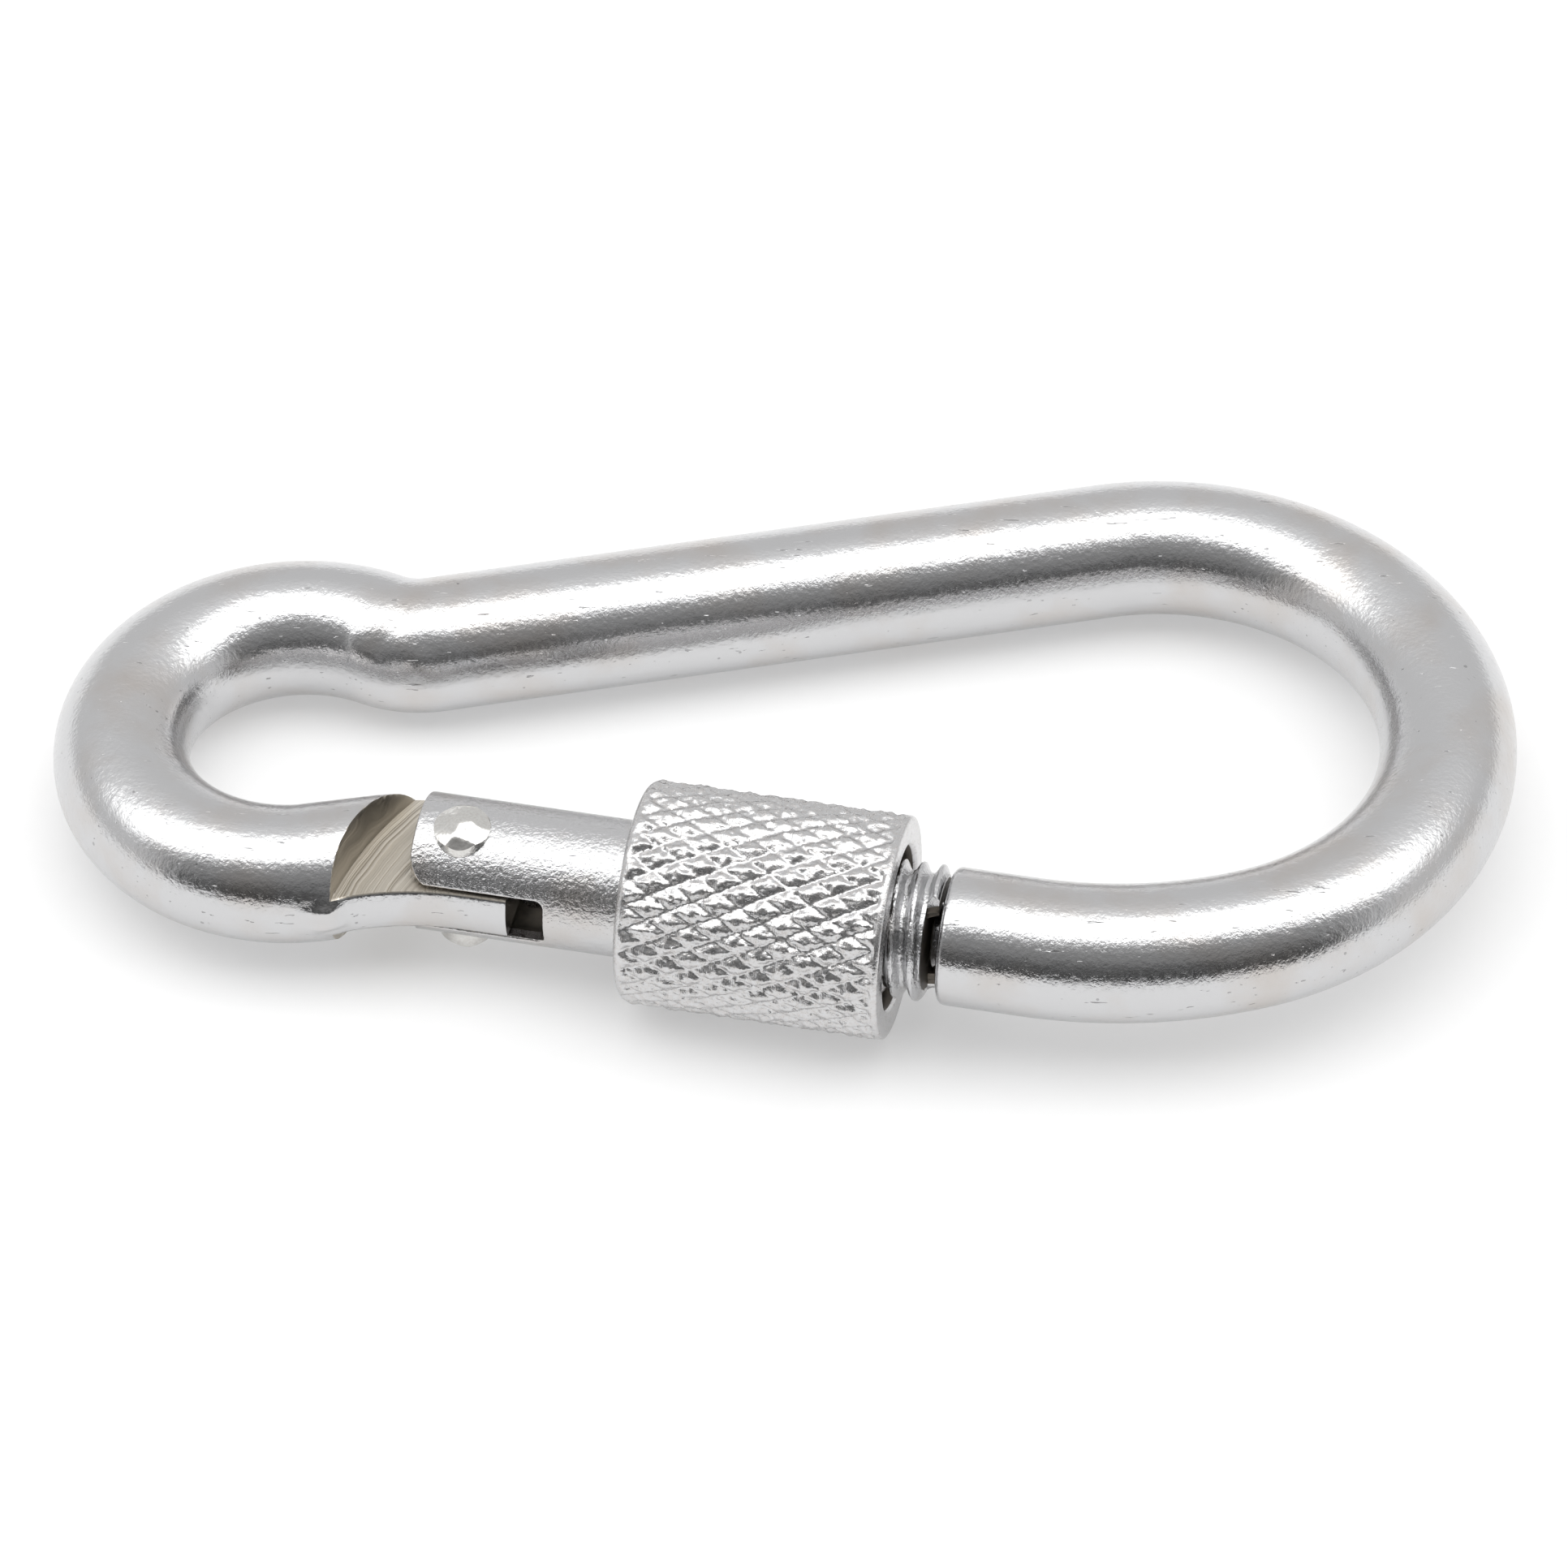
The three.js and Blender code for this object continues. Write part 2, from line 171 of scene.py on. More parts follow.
class SleeveSizes(bpy.types.PropertyGroup):
    gap: length("Gap", "Front face to the shoulder at the unscrewed stop", 1.95)
    wall: length("Wall", "Wall over the thread", 1.75)
    stand_off: length("Stand-off", "Slot's end to the rear face", 3.25)
    rear_edge: length("Rear edge", "Rounding of the rear edge", 0.5)
    rim: length("Front rim", "Plain band in front of the knurl", 0.22)
    rim_chamfer: length("Rim chamfer", "Chamfers of the front face", 0.15)
    clearance: length("Clearance", "Bore to the gate's outside", 0.1)
    mouth_step: length("Mouth step", "Mouth wider than the bore by this", 0.45)
    mouth_depth: length("Mouth depth", "Wide mouth before the bore", 1.2)
    knurl_starts: bpy.props.IntProperty(
        name="Knurl starts", description="Grooves of one hand round the sleeve", default=28, min=6
    )
    knurl_angle: angle("Knurl angle", "Helix of the knurl from the sleeve's axis", 29)
    knurl_depth: length("Knurl depth", "Depth of a groove", 0.17)


class SpringSizes(bpy.types.PropertyGroup):
    tip_radius: length("Tip radius", "Push pin's tip", 1.3)
    pin_edge: length("Pin edge", "Broken edges of the push pin", 0.12)
    tip_length: length("Tip length", "Push pin's tip", 1.6)
    tip_gap: length("Tip gap", "Push pin to the tongue", 0.15)
    collar_length: length("Collar length", "Push pin's collar", 0.9)
    collar_gap: length("Collar gap", "Collar to the bore", 0.1)
    stem_radius: length("Stem radius", "Push pin's stem", 0.9)
    stem_length: length("Stem length", "Push pin's stem", 0.9)
    wire: length("Wire", "Diameter of the spring wire", 0.45)
    pitch: length("Pitch", "Pitch of the spring", 1.25)
    gap: length("Gap", "Wire to the bore, collar and bore's end", 0.15)


class Finishes(bpy.types.PropertyGroup):
    bar: colour("Tumbled steel", "Bar and gate", "#cbcbcc")
    bar_tint: colour("Heat tint", "Faint warm patches on the bar", "#c3bdb8")
    # The dark colour below is real on the pits and scratches; in the bores it is painted shade.
    grime_and_bore_shade: colour("Grime", "Pits, scratches and the bore's painted shade", "#3d3c3b")
    milled: colour("Milled steel", "Flats of the tongue", "#cdc7bc")
    # The dark milled colour below draws the tool lines; in the bores it is mixed into painted
    # shade.
    tool_lines_and_bore_shade: colour("Milled steel, dark", "Tool lines of the flats", "#8d857a")
    turned: colour("Turned steel", "Sleeve and push pin", "#cececf")
    rivet: colour("Peened steel", "Rivet heads", "#d9d8d5")
    spring: colour("Spring steel", "Spring wire", "#8f8f8e")
    spring_dark: colour("Spring steel, dark", "Streaks of the spring wire", "#6e6e6d")
    floor: colour("Floor", "Plain pale floor", "#d4d4d4")
    floor_tooth: colour("Floor tooth", "Faint specks in the floor", "#bcbcbc")


class Sizes:
    """A property group's lengths as plain millimetres, and its angles and counts as they are."""

    def __init__(self, group):
        for name, prop in group.bl_rna.properties.items():
            if prop.type in ("FLOAT", "INT") and not prop.is_readonly:
                scale = 1 / MM if prop.unit == "LENGTH" else 1
                setattr(self, name, getattr(group, name) * scale)


# ---- Derived sizes, in the gate's own millimetres ----
# The hinge pin's foot is at x = 0, the gate's centre line on y = 0, the hook's inside at +y.
def sizes(scene):
    """The four groups as millimetres, with the places that follow from them."""
    hook, gate = Sizes(scene.hook_sizes), Sizes(scene.gate_sizes)
    sleeve, spring = Sizes(scene.sleeve_sizes), Sizes(scene.spring_sizes)
    hook.radius = hook.bar_diameter / 2
    large, small, neck = hook.large_end_radius, hook.small_loop_radius, hook.neck_radius
    entry, entry_turn = hook.entry_radius, hook.entry_angle
    back, back_turn = hook.return_radius, hook.return_angle
    small_y = small * math.cos(back_turn) - back * (1 - math.cos(back_turn))
    small_x = hook.return_reach - (back + small) * math.sin(back_turn)
    large_y = entry - (entry - large) * math.cos(entry_turn)
    between = hook.overall_length - large - small - hook.bar_diameter
    rise = large_y - small_y
    large_x = small_x + math.sqrt(between**2 - rise**2)
    hook.shoulder = large_x - (entry - large) * math.sin(entry_turn) - hook.nose_length
    inset = small - hook.neck_depth
    tilt = math.atan2(rise, large_x - small_x)
    outward = math.pi + tilt - math.acos((large - inset) / between)
    away = np.array([math.cos(outward), math.sin(outward)])
    along = np.array([-away[1], away[0]])
    run = math.sqrt((small + neck) ** 2 - (inset + neck) ** 2)
    neck_turn = math.asin(run / (small + neck))
    back_start = np.array([large_x, large_y]) + away * large
    back_end = np.array([small_x, small_y]) - along * run + away * inset
    loop_turn = 1.5 * math.pi + back_turn - outward + neck_turn
    hook.path = [  # (length, curvature to the left) of each run of the centre line
        (hook.nose_length, 0.0),
        (entry * entry_turn, 1 / entry),
        (large * (outward + math.pi / 2 - entry_turn), 1 / large),
        (float((back_end - back_start) @ along), 0.0),
        (neck * neck_turn, -1 / neck),
        (small * loop_turn, 1 / small),
        (back * back_turn, -1 / back),
        (hook.tongue_reach - hook.return_reach, 0.0),
    ]
    hook.total = sum(length_of for length_of, _ in hook.path)
    gate.end = hook.shoulder - gate.end_gap
    gate.bore = hook.radius - gate.wall
    gate.bore_end = gate.end - gate.lap_length - gate.solid_end
    gate.slot_half = hook.tongue_thickness / 2 + gate.slot_clearance
    sleeve.bore = hook.radius + sleeve.clearance
    sleeve.radius = hook.radius + sleeve.wall
    sleeve.front = hook.shoulder - sleeve.gap
    sleeve.rear = gate.slot_reach + sleeve.stand_off
    spring.tip = hook.tongue_reach + spring.tip_gap
    spring.collar = spring.tip + spring.tip_length
    spring.stem = spring.collar + spring.collar_length
    return hook, gate, sleeve, spring


def in_row(points, gate):
    """Points in the gate's millimetres as metres in the part's own frame: the hinge, plus the
    pin's offset inward, plus x along the gate, y inward and z up."""
    origin = HINGE + gate.pin_offset * MM * INWARD
    turn = np.stack([ALONG, INWARD, UP])
    return origin + MM * (points @ turn)


# ---- Surfaces ----
def surface(x, y, z):
    """Three arrays of the same grid as one grid of points."""
    return np.stack(np.broadcast_arrays(x, y, z), axis=-1).astype(float)


def ring_angles(count):
    """Angles round a closed ring; the last one joins the first."""
    return np.arange(count) * TAU / count


def round_x(stations, radii, angles):
    """A surface turned round x: (x, r cos a, r sin a) for each station and angle."""
    return surface(stations, radii * np.cos(angles), radii * np.sin(angles))


def ramp(value, low, high):
    """0 below low, 1 above high, and 3t^2 - 2t^3 between them."""
    t = np.clip((value - low) / (high - low), 0, 1)
    return t * t * (3 - 2 * t)


def broken_edge(distance, radius):
    """How far a surface falls near its edge for a quarter-round of that radius:
    r - sqrt(r^2 - (r - d)^2) for a distance d below r, and nothing beyond."""
    gap = np.clip(radius - distance, 0, radius)
    return radius - np.sqrt(radius**2 - gap**2)


def smooth_noise(u, v, seed):
    """Values between the corners of a random lattice, eased with 3t^2 - 2t^3. The lattice
    repeats, so an angle goes in as turns times a multiple of its size."""
    table = np.random.default_rng(seed).uniform(-1, 1, (LATTICE, LATTICE))
    iu, iv = np.floor(u).astype(int), np.floor(v).astype(int)
    fu, fv = ramp(u - iu, 0, 1), ramp(v - iv, 0, 1)

    def row(step):
        here = (iu + step) % LATTICE
        return table[here, iv % LATTICE] * (1 - fv) + table[here, (iv + 1) % LATTICE] * fv

    return row(0) * (1 - fu) + row(1) * fu


def grid_faces(rows, columns, closed):
    """The four corners of each cell of a grid, joined round its columns if it is closed."""
    across = columns if closed else columns - 1
    r, c = np.meshgrid(np.arange(rows - 1), np.arange(across), indexing="ij")
    after = (c + 1) % columns
    corners = [r * columns + c, r * columns + after]
    corners += [(r + 1) * columns + after, (r + 1) * columns + c]
    return np.stack(corners, axis=-1).reshape(-1, 4)


def joined_mesh(name, grids, gate):
    """One mesh from several grids of points, each given with whether its columns close. Points
    that meet are joined and faces are turned outward."""
    points, faces, first = [], [], 0
    for grid, closed in grids:
        rows, columns = grid.shape[:2]
        points.append(in_row(grid.reshape(-1, 3), gate))
        faces.append(grid_faces(rows, columns, closed) + first)
        first += rows * columns
    points, faces = np.concatenate(points), np.concatenate(faces)
    mesh = bpy.data.meshes.new(name)
    mesh.vertices.add(len(points))
    mesh.vertices.foreach_set("co", points.astype(np.float32).ravel())
    mesh.loops.add(faces.size)
    mesh.loops.foreach_set("vertex_index", faces.astype(np.int32).ravel())
    mesh.polygons.add(len(faces))
    mesh.polygons.foreach_set("loop_start", np.arange(0, faces.size, 4, dtype=np.int32))
    mesh.update(calc_edges=True)
    work = bmesh.new()
    work.from_mesh(mesh)
    bmesh.ops.remove_doubles(work, verts=work.verts, dist=JOIN_BELOW)
    bmesh.ops.dissolve_degenerate(work, edges=work.edges, dist=SLIVER)
    bmesh.ops.recalc_face_normals(work, faces=work.faces)
    work.to_mesh(mesh)
    work.free()
    return mesh


def finish_mesh(mesh, sharp):
    """Smooth shading, with edges past the sharp angle kept crisp, and a report of its edges
    that don't have two faces."""
    mesh.shade_smooth()
    mesh.set_sharp_from_angle(angle=math.radians(sharp))
    uses = np.zeros(len(mesh.loops), np.int32)
    mesh.loops.foreach_get("edge_index", uses)
    odd = int((np.bincount(uses, minlength=len(mesh.edges)) != 2).sum())
    print(f"{mesh.name}: {len(mesh.polygons)} faces, {odd} open edges")


def piece(name, grids, gate, body, nodes, sharp=35):
    """A finished piece from its grids, riding on its body in place of its CAD nodes."""
    mesh = joined_mesh(name, grids, gate)
    finish_mesh(mesh, sharp)
    made = bpy.data.objects.new(name, mesh)
    bpy.context.scene.collection.objects.link(made)
    if body:
        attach(made, body)
    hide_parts(*nodes)
    return made


# ---- The bent bar ----
def travelled(heading, bend, travel):
    """How far a run takes the centre line along and across: with heading h and curvature k it
    moves (sin(h + ks) - sin h) / k and (cos h - cos(h + ks)) / k, or straight on where k is 0."""
    if not bend:
        return travel * np.cos(heading), travel * np.sin(heading)
    turned = heading + bend * travel
    return (np.sin(turned) - np.sin(heading)) / bend, (np.cos(heading) - np.cos(turned)) / bend


def centre_line(hook, station):
    """Place and heading of the bar's centre line at a distance from the shoulder."""
    x, y, heading, start = hook.shoulder, 0.0, 0.0, 0.0
    made = [np.zeros_like(station) for _ in range(3)]
    for number, (run, bend) in enumerate(hook.path):
        here = (station >= start) if number else np.ones_like(station, bool)
        travel = np.where(here, station - start, 0.0)
        along, across = travelled(heading, bend, travel)
        for target, value in zip(made, (x + along, y + across, heading + bend * travel)):
            target[here] = value[here]
        along, across = travelled(heading, bend, run)
        x, y, heading, start = x + along, y + across, heading + bend * run, start + run
    return made


def mill_station(hook, distance, lateral):
    """Distance along the bar at which a point that stands off its centre line is that far from
    the mill's centre: a span that holds the answer is halved 40 times, for all points at once."""
    low = np.full(np.broadcast(distance, lateral).shape, hook.total - hook.return_radius)
    high = np.full(low.shape, hook.total)
    for _ in range(40):
        middle = (low + high) / 2
        x, y, heading = centre_line(hook, middle)
        x, y = x - lateral * np.sin(heading), y + lateral * np.cos(heading)
        beyond = np.hypot(x - hook.mill_x, y + hook.mill_y) > distance
        low, high = np.where(beyond, middle, low), np.where(beyond, high, middle)
    return (low + high) / 2


def milled_height(hook, distance):
    """Half the bar's height at a distance from the mill's centre: the tongue's half-thickness
    inside the mill's foot, up a steep wall to the full bar at its top."""
    half = hook.tongue_thickness / 2
    climb = (distance - hook.mill_foot) / (hook.mill_top - hook.mill_foot)
    return half + (hook.radius - half) * np.clip(climb, 0, 3)


def soft_limit(height, limit, blend=0.05):
    """The lower of two heights, with the corner between them rounded by the blend."""
    share = np.clip(0.5 + 0.5 * (limit - height) / blend, 0, 1)
    return limit * (1 - share) + height * share - blend * share * (1 - share)


def pinches(hook, stations, angles):
    """What bending and milling left on the bar's round: shallow creases across the upper inside
    of the neck and a lump beside the milled step's foot, all bell curves along the bar and
    round it; the lump has a rough skin."""
    lengths = [run for run, _ in hook.path]
    neck = sum(lengths[:4]) + lengths[4] / 2
    turns = angles / TAU * LATTICE
    wander = 0.12 * smooth_noise(turns / 2, stations * 0.3, 5)
    crease_at, crease_spread = math.radians(42), math.radians(22)
    lump_at, lump_spread, lump_length, lump_back = math.radians(178), math.radians(20), 0.5, 0.5
    # (place along the neck, width, height) of each crease, in millimetres
    creases = [(-0.9, 0.3, -0.045), (-0.3, 0.3, 0.05), (0.35, 0.32, -0.06), (1.1, 0.4, 0.035)]
    inner = np.exp(-(((angles - crease_at) / crease_spread) ** 2))
    height = sum(
        inner * depth * np.exp(-(((stations - neck - place + wander) / width) ** 2))
        for place, width, depth in creases
    )
    along = (stations - (sum(lengths[:6]) - lump_back)) / lump_length
    around = (angles - lump_at) / lump_spread
    skin = 1 + 0.35 * smooth_noise(turns * 2, stations * 2.2, 8)
    return height + hook.burr * skin * np.exp(-(along**2) - around**2)


def bar_surface(hook, stations, radii, angles):
    """The bar: at each station a ring r(cos a inward, sin a up) square to the centre line, with
    its pinches, and its height limited by the milling."""
    x, y, heading = centre_line(hook, stations)
    radii = radii + pinches(hook, stations, angles) * (radii > hook.radius * 0.9)
    lateral, height = radii * np.cos(angles), radii * np.sin(angles)
    px, py = x - lateral * np.sin(heading), y + lateral * np.cos(heading)
    distance = np.hypot(px - hook.mill_x, py + hook.mill_y)
    near = stations > hook.total - hook.return_radius
    limit = np.where(near, milled_height(hook, distance), 10 * hook.radius)
    return surface(px, py, np.sign(height) * soft_limit(np.abs(height), limit))


def bar_grid(hook):
    """Rows of rings from the latch stud, round the bar, and over the tongue's end. Near the
    tongue the rows follow circles round the mill's centre, so that the milled step runs along
    a row."""
    angles = ring_angles(BAR_SIDES)
    edge, radius = hook.shoulder_edge, hook.radius
    turn = np.linspace(0, math.pi / 2, 7)
    tip, head, neck, bevel = -hook.latch_length, hook.latch_head, hook.latch_neck, 0.06
    stud = [(tip, 0.0), (tip, head / 2), (tip, head - bevel), (tip + bevel, head)]
    stud += [(-bevel / 2, neck + bevel / 3), (0.0, neck + bevel), (0.0, (neck + radius) / 2)]
    stud += list(zip(edge - edge * np.cos(turn), radius - edge + edge * np.sin(turn)))
    stud = np.array(stud)
    lateral = radius * np.cos(angles)
    beyond_mill, inside_mill, before_mill, around_neck = 0.45, 0.25, 0.4, 1.5
    outer, foot = hook.mill_top + beyond_mill, hook.mill_foot - inside_mill
    last_plain = float(mill_station(hook, outer, lateral).min()) - before_mill
    lengths = [run for run, _ in hook.path]
    neck_start, neck_end = sum(lengths[:4]) - around_neck, sum(lengths[:5]) + around_neck
    # (start, end, rows) of each run of plain rings; the neck's creases take the closest rows
    runs = [(edge, neck_start, 170), (neck_start, neck_end, 70), (neck_end, last_plain, 80)]
    plain = np.concatenate([np.linspace(*run)[1:] for run in runs])
    rounds = mill_station(hook, np.linspace(outer, foot, 34)[:, None], lateral[None])
    end = hook.total - broken_edge(radius - lateral, hook.tongue_corner)
    share = np.linspace(0, 1, 42)[1:, None]
    tongue = rounds[-1] + (end - rounds[-1]) * share
    straight = np.concatenate([stud[:, 0], plain])[:, None] + 0 * angles
    stations = np.concatenate([straight, rounds, tongue])
    radii = np.full(stations.shape, radius)
    radii[: len(stud)] = stud[:, 1:]
    shrink = np.linspace(1, 0, 14)[1:, None]
    cap = hook.total - broken_edge(radius - shrink * lateral, hook.tongue_corner)
    stations = np.concatenate([stations, cap])
    radii = np.concatenate([radii, radius * shrink + 0 * angles])
    return bar_surface(hook, stations, radii, angles[None] + 0 * stations)


# ---- The gate ----
def thread_radius(hook, gate, start, x, angles):
    """The gate's outside: the bar's radius, less a rounded groove that winds once round the
    gate for each pitch, from the start on."""
    phase = ((x - gate.end) / gate.thread_pitch - angles / TAU) % 1
    groove = ramp(np.abs(2 * phase - 1), 0.1, 0.85)
    return hook.radius - gate.thread_depth * groove * ramp(x, start, start + gate.thread_pitch)


def slot_edge(hook, gate, x):
    """Half the slot's width as an arc on the gate's outside at x, narrowed by a quarter-round
    in the corner at its end."""
    half = hook.radius * math.asin(gate.slot_half / hook.radius)
    return half - broken_edge(gate.slot_reach - x, gate.slot_corner)


def slot_distance(hook, gate, x, arc):
    """Distance on the gate's outside from a slot with rounded corners; arc is measured from
    the slot's middle."""
    half = hook.radius * math.asin(gate.slot_half / hook.radius)
    across = np.abs(arc) - (half - gate.slot_corner)
    ahead = x - (gate.slot_reach - gate.slot_corner)
    return (
        np.hypot(np.clip(across, 0, None), np.clip(ahead, 0, None))
        + np.minimum(np.maximum(across, ahead), 0)
        - gate.slot_corner
    )


def end_height(hook, gate, y, z):
    """The gate's end face: its outer half is cut back and its inner half keeps a raised ring
    round the latch stud's pocket, which opens outward."""
    pocket, step = hook.latch_head + gate.latch_gap, 0.06
    from_pocket = np.where(y > 0, np.hypot(y, z), np.abs(z)) - pocket
    raised = ramp(y, -gate.lap_edge, step - gate.lap_edge) * ramp(from_pocket, 0, step)
    return gate.end - gate.lap_length * (1 - raised)


def gate_grids(hook, gate, sleeve):
    """The gate as grids that meet edge to edge: two ears, the tube past the slot, their bore,
    the rims between outside and bore, and the end face. A column keeps its share of the arc
    between the slot's edges, so that the edges themselves run along columns."""
    radius, bore = hook.radius, gate.bore
    near = np.array([0, 0.003, 0.007, 0.012, 0.018, 0.03, 0.05])
    share = np.concatenate([near, np.linspace(0.07, 0.93, 41), 1 - near[::-1]])
    ear_half = math.sqrt(radius**2 - gate.slot_half**2)
    corner_start = gate.slot_reach - gate.slot_corner
    quarter = np.linspace(0, math.pi / 2, 9)[1:]
    corner_x = corner_start + gate.slot_corner * np.sin(quarter)
    shares = np.concatenate([[0, 0.003, 0.008, 0.014, 0.021, 0.04], np.linspace(0.07, 1, 26)])

    def ear(radius_here, outside):
        at_x = np.concatenate([np.full(len(shares), corner_start), corner_x])
        edge_z = radius * np.sin(slot_edge(hook, gate, at_x) / radius)
        start = np.arcsin(edge_z / radius_here)[:, None]
        angles = start + (math.pi - 2 * start) * share
        y = np.abs(radius_here * np.cos(angles))
        left = broken_edge(ear_half - y, gate.ear_corner) - gate.ear_reach
        x = at_x[:, None] + 0 * angles
        rows = len(shares)
        x[:rows] = left[:rows] + (corner_start - left[:rows]) * shares[:, None]
        height = np.full(x.shape, float(radius_here))
        if outside:
            gap = slot_distance(hook, gate, x, radius * np.minimum(angles, math.pi - angles))
            gap = np.minimum(gap, x - left)
            height = height - broken_edge(np.clip(gap, 0, None), gate.edge)
        return round_x(x, height, angles)

    def turned_over(grid):
        return grid * np.array([1.0, 1.0, -1.0])

    outer, inner = ear(radius, True), ear(bore, False)
    side = np.linspace(-1, 1, 13)[1:-1]

    def ring(radius_here):
        edge_z = radius * math.sin(float(slot_edge(hook, gate, gate.slot_reach)) / radius)
        start = math.asin(edge_z / radius_here)
        upper = start + (math.pi - 2 * start) * share
        return np.concatenate(
            [upper, math.pi + start * side, TAU - upper[::-1], TAU + start * side]
        )

    def outside_at(x, angles):
        folded = np.minimum(angles % math.pi, math.pi - angles % math.pi)
        gap = np.clip(slot_distance(hook, gate, x, radius * folded), 0, None)
        height = thread_radius(hook, gate, sleeve.rear + sleeve.rear_edge, x, angles)
        return height - broken_edge(gap, gate.edge)

    angles = ring(radius)
    first = gate.slot_reach + np.array([0, 0.01, 0.03, 0.06, 0.1, 0.16, 0.25, 0.4])
    smooth_x = np.linspace(first[-1], sleeve.rear + sleeve.rear_edge, 12)[1:]
    before_end = gate.end - gate.lap_length - 0.1
    rows = round((before_end - smooth_x[-1]) / gate.thread_pitch * 10)
    threaded = np.linspace(smooth_x[-1], before_end, rows)[1:]
    plain = np.concatenate([first, smooth_x, threaded])[:, None] + 0 * angles
    end = end_height(hook, gate, radius * np.cos(angles), radius * np.sin(angles))
    last = before_end + (end - before_end) * np.linspace(0, 1, 9)[1:, None]
    x = np.concatenate([plain, last])
    height = outside_at(x, angles) - broken_edge(end - x, 0.05)
    tube = round_x(x, height, angles)
    scale = np.linspace(1, 0, 44)[:, None]
    y, z = scale * tube[-1, :, 1], scale * tube[-1, :, 2]
    face_x = end_height(hook, gate, y, z)
    face_x[0] = tube[-1, :, 0]
    face = surface(face_x, y, z)
    inner_angles = ring(bore)
    bore_x = np.linspace(gate.slot_reach, gate.bore_end, 24)
    bore_r = np.append(np.full(len(bore_x), bore), np.linspace(bore, 0, 6)[1:])
    bore_x = np.append(bore_x, np.full(len(bore_r) - len(bore_x), gate.bore_end))
    hollow = round_x(bore_x[:, None], bore_r[:, None], inner_angles)
    grids = [(tube, True), (face, True), (hollow, True)]
    for turn in (lambda grid: grid, turned_over):
        grids += [(turn(outer), False), (turn(inner), False)]
        for edge in (0, -1):
            grids.append((turn(np.stack([outer[:, edge], inner[:, edge]])), False))
        grids.append((turn(np.stack([outer[0], inner[0]])), False))
    for low in (len(share) - 1, 2 * len(share) + len(side) - 1):
        pick = np.arange(low, low + len(side) + 2) % len(angles)
        grids.append((np.stack([tube[0, pick], hollow[0, pick]]), False))
    return grids


# ---- The hinge rivet ----
def rivet_grid(hook, gate):
    """One closed turned shape: the head's dome is the lowest of a shallow cap and a few tilted
    flats that the peening left, its underside lies on the round gate, and the same below."""
    angles = ring_angles(RIVET_SIDES)
    radius, top = gate.head_radius, hook.radius + gate.head_height
    across = radius * np.sin(np.linspace(0, math.pi / 2, 22))[:, None]
    y, x = across * np.cos(angles), across * np.sin(angles)
    low = gate.head_height / 6
    cap = hook.radius + low + (gate.head_height - low) * np.sqrt(
        np.clip(1 - (across / radius) ** 2, 0, 1)
    )
    cap = cap + 0 * angles

    skin_height, skin_scale, skin_shift = 0.006, 4, 9
    lift = 0.03  # the head's underside stands this far off the bar's round

    def peened(flats):
        dome = cap.copy()
        for bearing, slope, drop in flats:
            lean = x * math.cos(bearing) + y * math.sin(bearing)
            dome = soft_limit(dome, top - drop - slope * lean, blend=0.035)
        place = (x * skin_scale + skin_shift, y * skin_scale + skin_shift)
        return dome + skin_height * smooth_noise(*place, 3)

    # (bearing from the gate's axis, slope, how far the flat passes below the dome's top)
    flats_above = [(1.9, 0.08, 0.03), (-1.1, 0.36, -0.02), (3.6, 0.4, -0.03)]
    flats_above += [(-2.2, 0.75, -0.33), (-0.5, 0.7, -0.34), (0.5, 0.5, -0.16)]
    flats_above += [(-1.5, 1.0, -0.53), (2.5, 0.45, -0.14)]
    flats_below = [(1.1, 0.3, 0.02), (2.7, 0.42, -0.1), (4.2, 0.42, -0.06), (5.7, 0.5, -0.14)]
    edge_y, edge_x = radius * np.cos(angles), radius * np.sin(angles)

    def half(flats):
        dome = peened(flats)
        seat = np.sqrt((hook.radius + lift) ** 2 - (edge_y - gate.pin_offset) ** 2)
        shank_y = gate.pin_radius * np.cos(angles)
        shank_x = gate.pin_radius * np.sin(angles)
        under = np.sqrt((hook.radius + lift) ** 2 - (shank_y - gate.pin_offset) ** 2)
        shoulder = np.maximum(dome[-1], seat + 0.05)
        rows = [surface(x, y, dome)]
        rows.append(surface(edge_x, edge_y, (shoulder + seat) / 2)[None])
        rows.append(surface(edge_x, edge_y, seat)[None])
        rows.append(surface(shank_x, shank_y, under)[None])
        rows.append(surface(shank_x, shank_y, hook.tongue_thickness / 2 + 0 * angles)[None])
        return np.concatenate(rows)

    above, below = half(flats_above), half(flats_below) * np.array([1.0, 1.0, -1.0])
    whole = np.concatenate([above, below[::-1]])
    return whole - np.array([0.0, gate.pin_offset, 0.0])


# ---- The lock sleeve ----
def knurl(sleeve, x, angles):
    """Depth of the knurl's grooves: two families of straight-sided grooves that wind round the
    sleeve at the same angle to its axis, one of each hand; the deeper of the two counts."""
    advance = x * math.tan(sleeve.knurl_angle) / sleeve.radius
    unevenness, families = 0.05, ((1, 1.0, 0.36), (-1, 0.85, 0.32))  # (hand, depth, half-width)
    uneven = unevenness * smooth_noise(x * 0.9, angles / TAU * LATTICE, 11)
    depth = []
    for hand, share, width in families:
        phase = (angles + hand * advance) * sleeve.knurl_starts / TAU + uneven
        off = np.abs(phase - np.round(phase))
        depth.append(share * np.clip(1 - off / width, 0, 1))
    return sleeve.knurl_depth * np.maximum(*depth)


